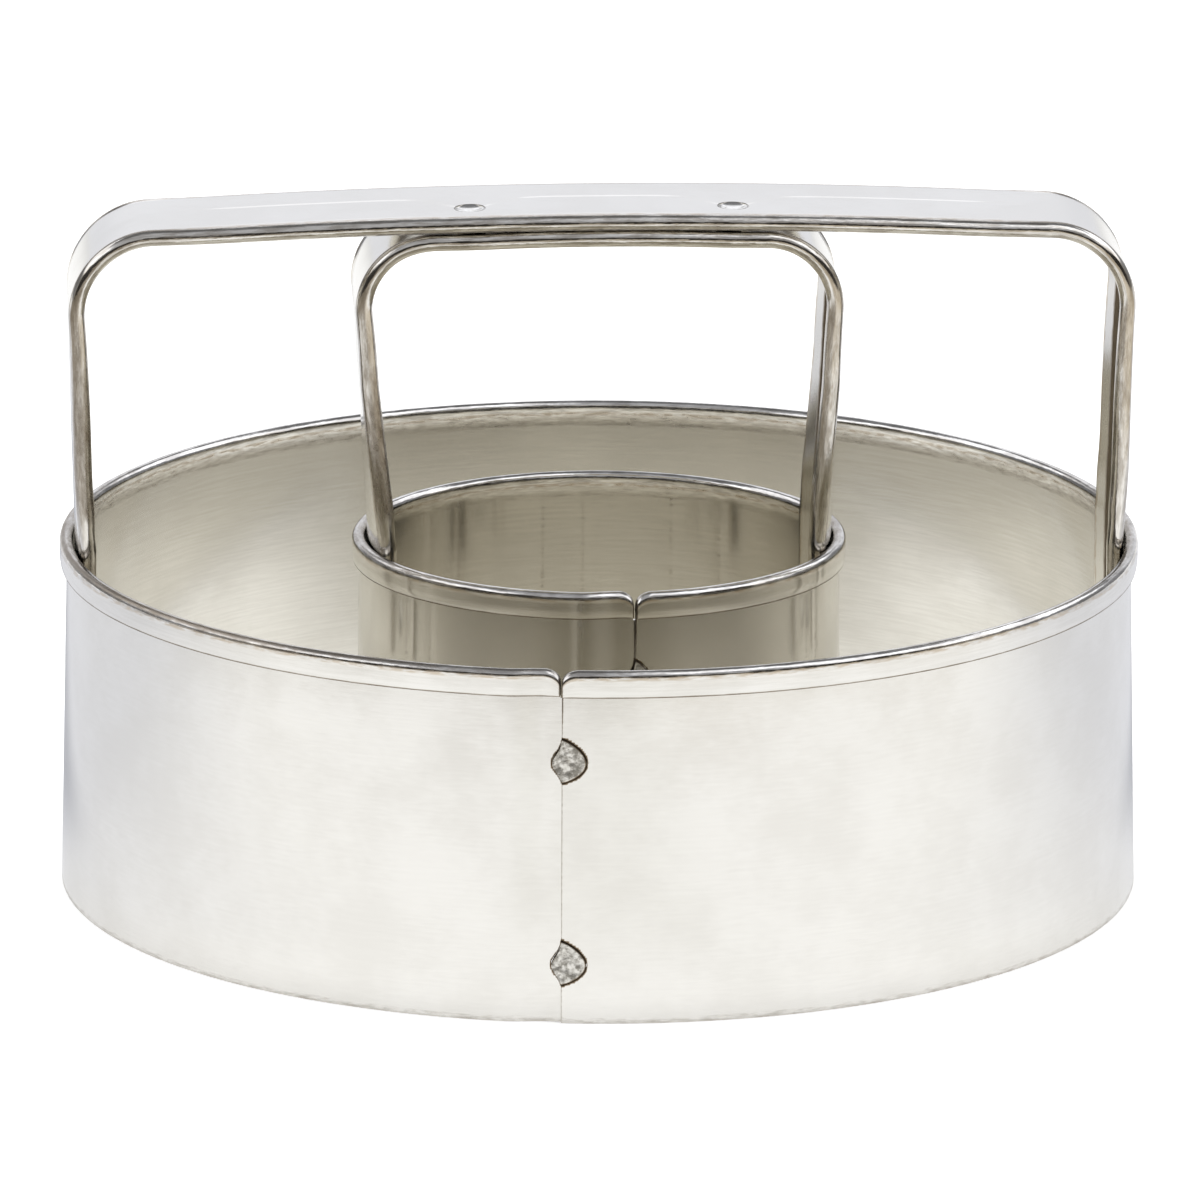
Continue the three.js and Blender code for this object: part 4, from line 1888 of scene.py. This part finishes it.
@dataclass
class Studio:
    """A pale floor, a white backdrop behind, softboxes at both sides and a dark room in front."""

    floor_size: float = 3.0
    floor_stations: int = 9
    floor_drop: float = 0.00002
    floor_white: float = 0.9
    floor_grain: float = 0.02
    # Floor colours that only reflected rays see: painted shade further out, darker on the left, and
    # beside, in front of, between and inside the rings.
    floor_far_left: Colour = (0.3, 0.265, 0.22, 1.0)
    floor_far_right: Colour = (0.58, 0.52, 0.43, 1.0)
    floor_edge: Colour = (0.42, 0.43, 0.47, 1.0)
    floor_side: Colour = (0.66, 0.67, 0.71, 1.0)
    floor_front: Colour = (0.84, 0.84, 0.83, 1.0)
    floor_ring: Colour = (0.83, 0.82, 0.78, 1.0)
    floor_ring_side: Colour = (0.56, 0.54, 0.49, 1.0)
    floor_ring_front: Colour = (0.38, 0.355, 0.29, 1.0)
    floor_inside: Colour = (0.56, 0.53, 0.45, 1.0)
    floor_lift: float = 0.35
    # In reflections the floor partly glows instead of being lit: painted light.
    mirror_glow_share: float = 0.6
    mirror_glow_level: float = 1.2
    sky: float = 0.36
    lamp: SoftBox = SoftBox("overhead_softbox", 1.2, 0.6, 0.97)
    backdrop: float = 0.91
    side_light: float = 1.6
    gap: float = 0.2
    overhead: float = 0.45
    dark_side: float = 0.04
    cool: Colour = (0.98, 0.995, 1.055, 1.0)
    warm: Colour = (1.0, 0.93, 0.84, 1.0)

    def painted_floor_reflection(self, desk: Desk, place: Socket, white: Socket) -> Socket:
        """Painted reflection of the floor: patches of painted shade that only reflected rays see, eased
        in over a few centimetres.

        Args:
            desk: The floor's desk.
            place: Places on the floor, in metres.
            white: The paper's own colour.

        Returns:
            The mirrored colour.
        """
        x, y, _ = desk.split(place)
        aside = desk.math("ABSOLUTE", x)
        middle = desk.add("ShaderNodeVectorMath", {0: place}, operation="LENGTH").outputs["Value"]
        level = desk.band(y, (-0.06, 0.035), (0.13, 0.2))
        beside = desk.times(desk.ease(aside, 0.028, 0.05), level)
        mirrored = desk.mix(beside, white, self.floor_side)
        close = desk.band(y, (0.0, 0.03), (0.12, 0.16))
        strip = desk.band(aside, (0.034, 0.04), (0.048, 0.06))
        mirrored = desk.mix(desk.times(close, strip), mirrored, self.floor_edge)
        before = desk.times(desk.fall(aside, 0.0, 0.035), desk.fall(y, -0.09, -0.04))
        mirrored = desk.mix(before, mirrored, self.floor_front)
        back = desk.times(desk.ease(y, 0.0, 0.03), desk.fall(aside, 0.02, 0.03, 0.55))
        ring = desk.mix(back, self.floor_ring_side, self.floor_ring)
        facing = desk.times(desk.fall(y, -0.024, -0.012), desk.fall(aside, 0.01, 0.028))
        ring = desk.mix(facing, ring, self.floor_ring_front)
        mirrored = desk.mix(desk.fall(middle, 0.039, 0.041), mirrored, ring)
        mirrored = desk.mix(desk.fall(middle, 0.0175, 0.019), mirrored, self.floor_inside)
        beyond = desk.times(desk.ease(middle, 0.15, 0.18), desk.fall(y, 0.03, 0.1))
        far = desk.mix(desk.ease(x, -0.03, 0.05), self.floor_far_left, self.floor_far_right)
        return desk.mix(beyond, mirrored, far)

    def floor_finish(self) -> bpy.types.Material:
        """White paper that lifts to white for the camera; in reflections it partly glows, with painted
        shade in patches near the rings and a darker floor further out.

        Returns:
            The new material.
        """
        material = bpy.data.materials.new("white_paper")
        desk = Desk.cleared(material)
        path = desk.add("ShaderNodeLightPath").outputs
        place = desk.add("ShaderNodeTexCoord").outputs["Object"]
        pale, dim = self.floor_white, self.floor_white - self.floor_grain
        grain = desk.noise(place, 60.0, 3.0)
        white = desk.mix(grain, (pale, pale, pale, 1.0), (dim, dim, dim, 1.0))
        mirrored = self.painted_floor_reflection(desk, place, white)
        glossy = path["Is Glossy Ray"]
        shaded = desk.mix(self.mirror_glow_share, mirrored, (0.0, 0.0, 0.0, 1.0))
        paper = desk.add("ShaderNodeBsdfDiffuse", {"Color": desk.mix(glossy, white, shaded)}).outputs[0]
        # Reflected rays see the floor partly glowing: painted light.
        mirror_glow = desk.times(glossy, self.mirror_glow_share * self.mirror_glow_level)
        lift = desk.math("MULTIPLY_ADD", path["Is Camera Ray"], self.floor_lift, mirror_glow)
        shine = desk.mix(glossy, (1.0, 1.0, 1.0, 1.0), mirrored)
        glow = desk.add("ShaderNodeEmission", {"Color": shine, "Strength": lift}).outputs[0]
        both = desk.add("ShaderNodeAddShader", {0: paper, 1: glow}).outputs[0]
        desk.add("ShaderNodeOutputMaterial", {"Surface": both})
        return material

    def floor(self) -> bpy.types.Object:
        """A flat square just under the cutting edges.

        Returns:
            The new floor.
        """
        count = self.floor_stations
        side = np.linspace(-self.floor_size, self.floor_size, count)
        x, y = np.meshgrid(side, side)
        points = np.stack([x, y, np.full_like(x, -self.floor_drop)], -1).reshape(-1, 3) / MM
        number = np.arange(count * count).reshape(count, count)
        corners = (number[:-1, :-1], number[:-1, 1:], number[1:, 1:], number[1:, :-1])
        faces = np.stack(corners, -1).reshape(-1, 4).tolist()
        floor = new_piece("studio_floor", points, faces, {})
        floor.data.materials.append(self.floor_finish())
        return floor

    def world(self) -> None:
        """The room round the cutter, as the metal mirrors it, and plain light for everything else.

        A ray's elevation and bearing pick its brightness. Low down there is a white backdrop behind,
        a dim gap and a softbox at each side, and a dark room in front. Above it is a dim ceiling, with
        a grey panel over the camera's side and a white one to the right of that.
        """
        world = bpy.data.worlds.new("studio")
        bpy.context.scene.world = world
        desk = Desk.cleared(world)
        path = desk.add("ShaderNodeLightPath").outputs
        ray = desk.add("ShaderNodeTexCoord").outputs["Generated"]
        x, y, z = desk.split(ray)
        elevation = desk.math("DEGREES", desk.math("ARCSINE", z))
        level = desk.math("SQRT", desk.math("ADD", desk.times(x, x), desk.times(y, y)))
        behind = desk.math("DIVIDE", y, desk.math("MAXIMUM", level, 0.001))
        backdrop = desk.ease(elevation, 4.0, 12.0, self.backdrop * 0.92, self.backdrop)
        backdrop = desk.ease(elevation, 19.0, 24.0, backdrop, self.gap)
        side = desk.ease(elevation, 18.0, 24.0, 0.25, self.side_light)
        front = desk.ease(elevation, 20.0, 28.0, self.dark_side, self.overhead)
        low = desk.ease(behind, -0.34, -0.22, front, side)
        low = desk.ease(elevation, 25.0, 30.0, low, desk.ease(behind, -0.72, -0.6, front, side))
        low = desk.ease(behind, 0.78, 0.86, low, self.gap)
        low = desk.ease(behind, 0.82, 0.9, low, backdrop)
        bright = desk.ease(elevation, 33.0, 39.0, self.backdrop * 1.3, self.gap)
        bright = desk.ease(behind, 0.945, 0.985, low, bright)
        low = desk.ease(elevation, 19.0, 23.0, low, bright)
        above = desk.ease(x, 0.04, 0.18, self.overhead, self.side_light)
        high = desk.ease(y, -0.08, 0.12, above, self.gap)
        shown = desk.ease(elevation, 46.0, 52.0, low, high)
        pale = desk.math("MAXIMUM", desk.ease(behind, -0.3, 0.3), desk.ease(elevation, 15.0, 35.0))
        tint = desk.mix(pale, self.warm, self.cool)
        shown = desk.mix(1.0, tint, shown, "MULTIPLY")
        plain = desk.ease(path["Is Camera Ray"], 0.0, 1.0, self.sky, 1.0)
        seen = desk.mix(path["Is Glossy Ray"], plain, shown)
        light = desk.add("ShaderNodeBackground", {"Color": seen, "Strength": 1.0}).outputs[0]
        desk.add("ShaderNodeOutputWorld", {"Surface": light})

    def build(self) -> None:
        """Makes the floor, the world and the lamp."""
        self.floor()
        self.world()
        self.lamp.build()
        log.info("studio: floor, room and overhead lamp")


@dataclass
class PhotoCamera:
    """A long lens in front of the cutter, looking slightly down."""

    target: tuple[float, float, float] = (0.0, 0.0, 0.015)
    distance: float = 1.1
    azimuth: float = -3.0
    elevation: float = 15.3
    roll: float = 0.17
    lens: float = 430.3
    sensor: float = 36.0
    middle: tuple[float, float] = (598.8, 682.0)
    frame_pixels: float = 1200.0

    def build(self) -> bpy.types.Object:
        """Makes the camera; it turns a little from its target so that this falls where it should.

        Returns:
            The camera.
        """
        camera = bpy.data.cameras.new("photo_camera")
        camera.lens = self.lens
        camera.sensor_width = self.sensor
        camera.sensor_fit = "AUTO"
        camera.dof.use_dof = False
        camera.clip_start = 0.05
        camera.clip_end = 20.0
        turn, tilt = math.radians(self.azimuth), math.radians(self.elevation)
        back = Vector((math.sin(turn) * math.cos(tilt), -math.cos(turn) * math.cos(tilt), math.sin(tilt)))
        place = Vector(self.target) + back * self.distance
        right = Vector((0.0, 0.0, 1.0)).cross(back).normalized()
        up = back.cross(right)
        pixel = self.distance * self.sensor / self.lens / self.frame_pixels
        aside = (self.frame_pixels / 2.0 - self.middle[0]) * pixel
        above = (self.middle[1] - self.frame_pixels / 2.0) * pixel
        aim = Vector(self.target) + right * aside + up * above
        away = (place - aim).normalized()
        right = Vector((0.0, 0.0, 1.0)).cross(away).normalized()
        up = away.cross(right)
        lean = math.radians(self.roll)
        turned = math.cos(lean) * right + math.sin(lean) * up
        raised = math.cos(lean) * up - math.sin(lean) * right
        holder = bpy.data.objects.new("photo_camera", camera)
        view = Matrix((turned, raised, away)).transposed().to_4x4()
        holder.matrix_world = Matrix.Translation(place) @ view
        bpy.context.scene.collection.objects.link(holder)
        bpy.context.scene.camera = holder
        return holder


def main() -> None:
    """Builds and dresses every piece, then the studio and the camera."""
    logging.basicConfig(level=logging.INFO, format="%(name)s: %(message)s")
    bpy.context.scene.view_settings.view_transform = "Standard"
    effects = Effects(rolling_grain(), tin_clouds(), heat_stain(), fold_wear())
    ring_tin = TinplateFinish("ring_tinplate", brush=0.05, brush_inside=0.22).make(effects)
    strap_tin = TinplateFinish(
        "strap_tinplate",
        fold_dull=(0.53, 0.495, 0.44, 1.0),
        fold_bright=(0.83, 0.805, 0.755, 1.0),
        roughness=0.13,
        pitch=4200.0,
        chatter=20.0,
        streak_pitch=3200.0,
        streak_stretch=9.0,
    ).make(effects)
    weld = WeldFinish("spot_weld").make(effects)
    pressed = WeldFinish(
        "pressed_weld",
        light=(0.85, 0.84, 0.81, 1.0),
        dark=(0.78, 0.765, 0.73, 1.0),
        brown=(0.74, 0.72, 0.68, 1.0),
        darkest=(0.68, 0.65, 0.6, 1.0),
        smooth=0.13,
        rough=0.2,
        relief=0.000004,
    ).make(effects)
    outer_ring = RolledRing(
        name="outer",
        radius=41.23,
        flare=0.54,
        seam=math.radians(-96.8),
        spacing=1.1,
        ripples=((7, 0.010, 0.4), (13, 0.005, 1.9), (31, 0.0012, 0.7)),
        creases=((151.0, 0.006, 1.1), (138.0, 0.005, 1.4), (31.0, 0.006, 1.2), (62.0, 0.004, 1.5)),
    )
    inner_ring = RolledRing(
        name="inner",
        radius=18.9,
        flare=0.3,
        seam=math.radians(-84.3),
        spacing=0.8,
        seam_outline=ShellOutline(1.62, 1.2, 0.75),
        # Painted shade along the inner ring's creases.
        crease_shade=0.22,
        wear_and_shade=RingWearAndShade(rim=0.4, behind_hem=0.22),
        ripples=((9, 0.007, 1.1), (17, 0.004, 0.3), (29, 0.002, 2.2)),
        creases=(
            (133.0, 0.022, 0.5),
            (124.0, 0.016, 0.45),
            (101.0, 0.008, 0.6),
            (91.0, 0.008, 0.5),
            (69.0, 0.018, 0.5),
            (56.0, 0.022, 0.5),
            (214.6, 0.02, 0.45),
            (223.0, 0.02, 0.45),
            (-34.0, 0.02, 0.45),
            (-29.5, 0.02, 0.45),
        ),
    )
    outer_handle = StrapHandle(
        name="outer",
        ring=outer_ring,
        top=53.15,
        lean=0.4,
        shoulder=6.7,
        bow=1.0,
        score_depth=0.042,
    )
    inner_handle = StrapHandle(
        name="inner",
        ring=inner_ring,
        top=51.85,
        lean=0.45,
        shoulder=5.9,
        bow=0.3,
        left_lean=0.5,
        dish_fade=13.0,
        dish_power=1.2,
        crown=math.radians(2.0),
    )
    for ring, handle in ((outer_ring, outer_handle), (inner_ring, inner_handle)):
        ring.build(ring_tin)
        handle.build(strap_tin)
        SpotWelds(ring, handle).build(weld, pressed)
    TopWelds(outer_handle, inner_handle).build(pressed)
    Studio().build()
    PhotoCamera().build()


if __name__ == "__main__":
    main()
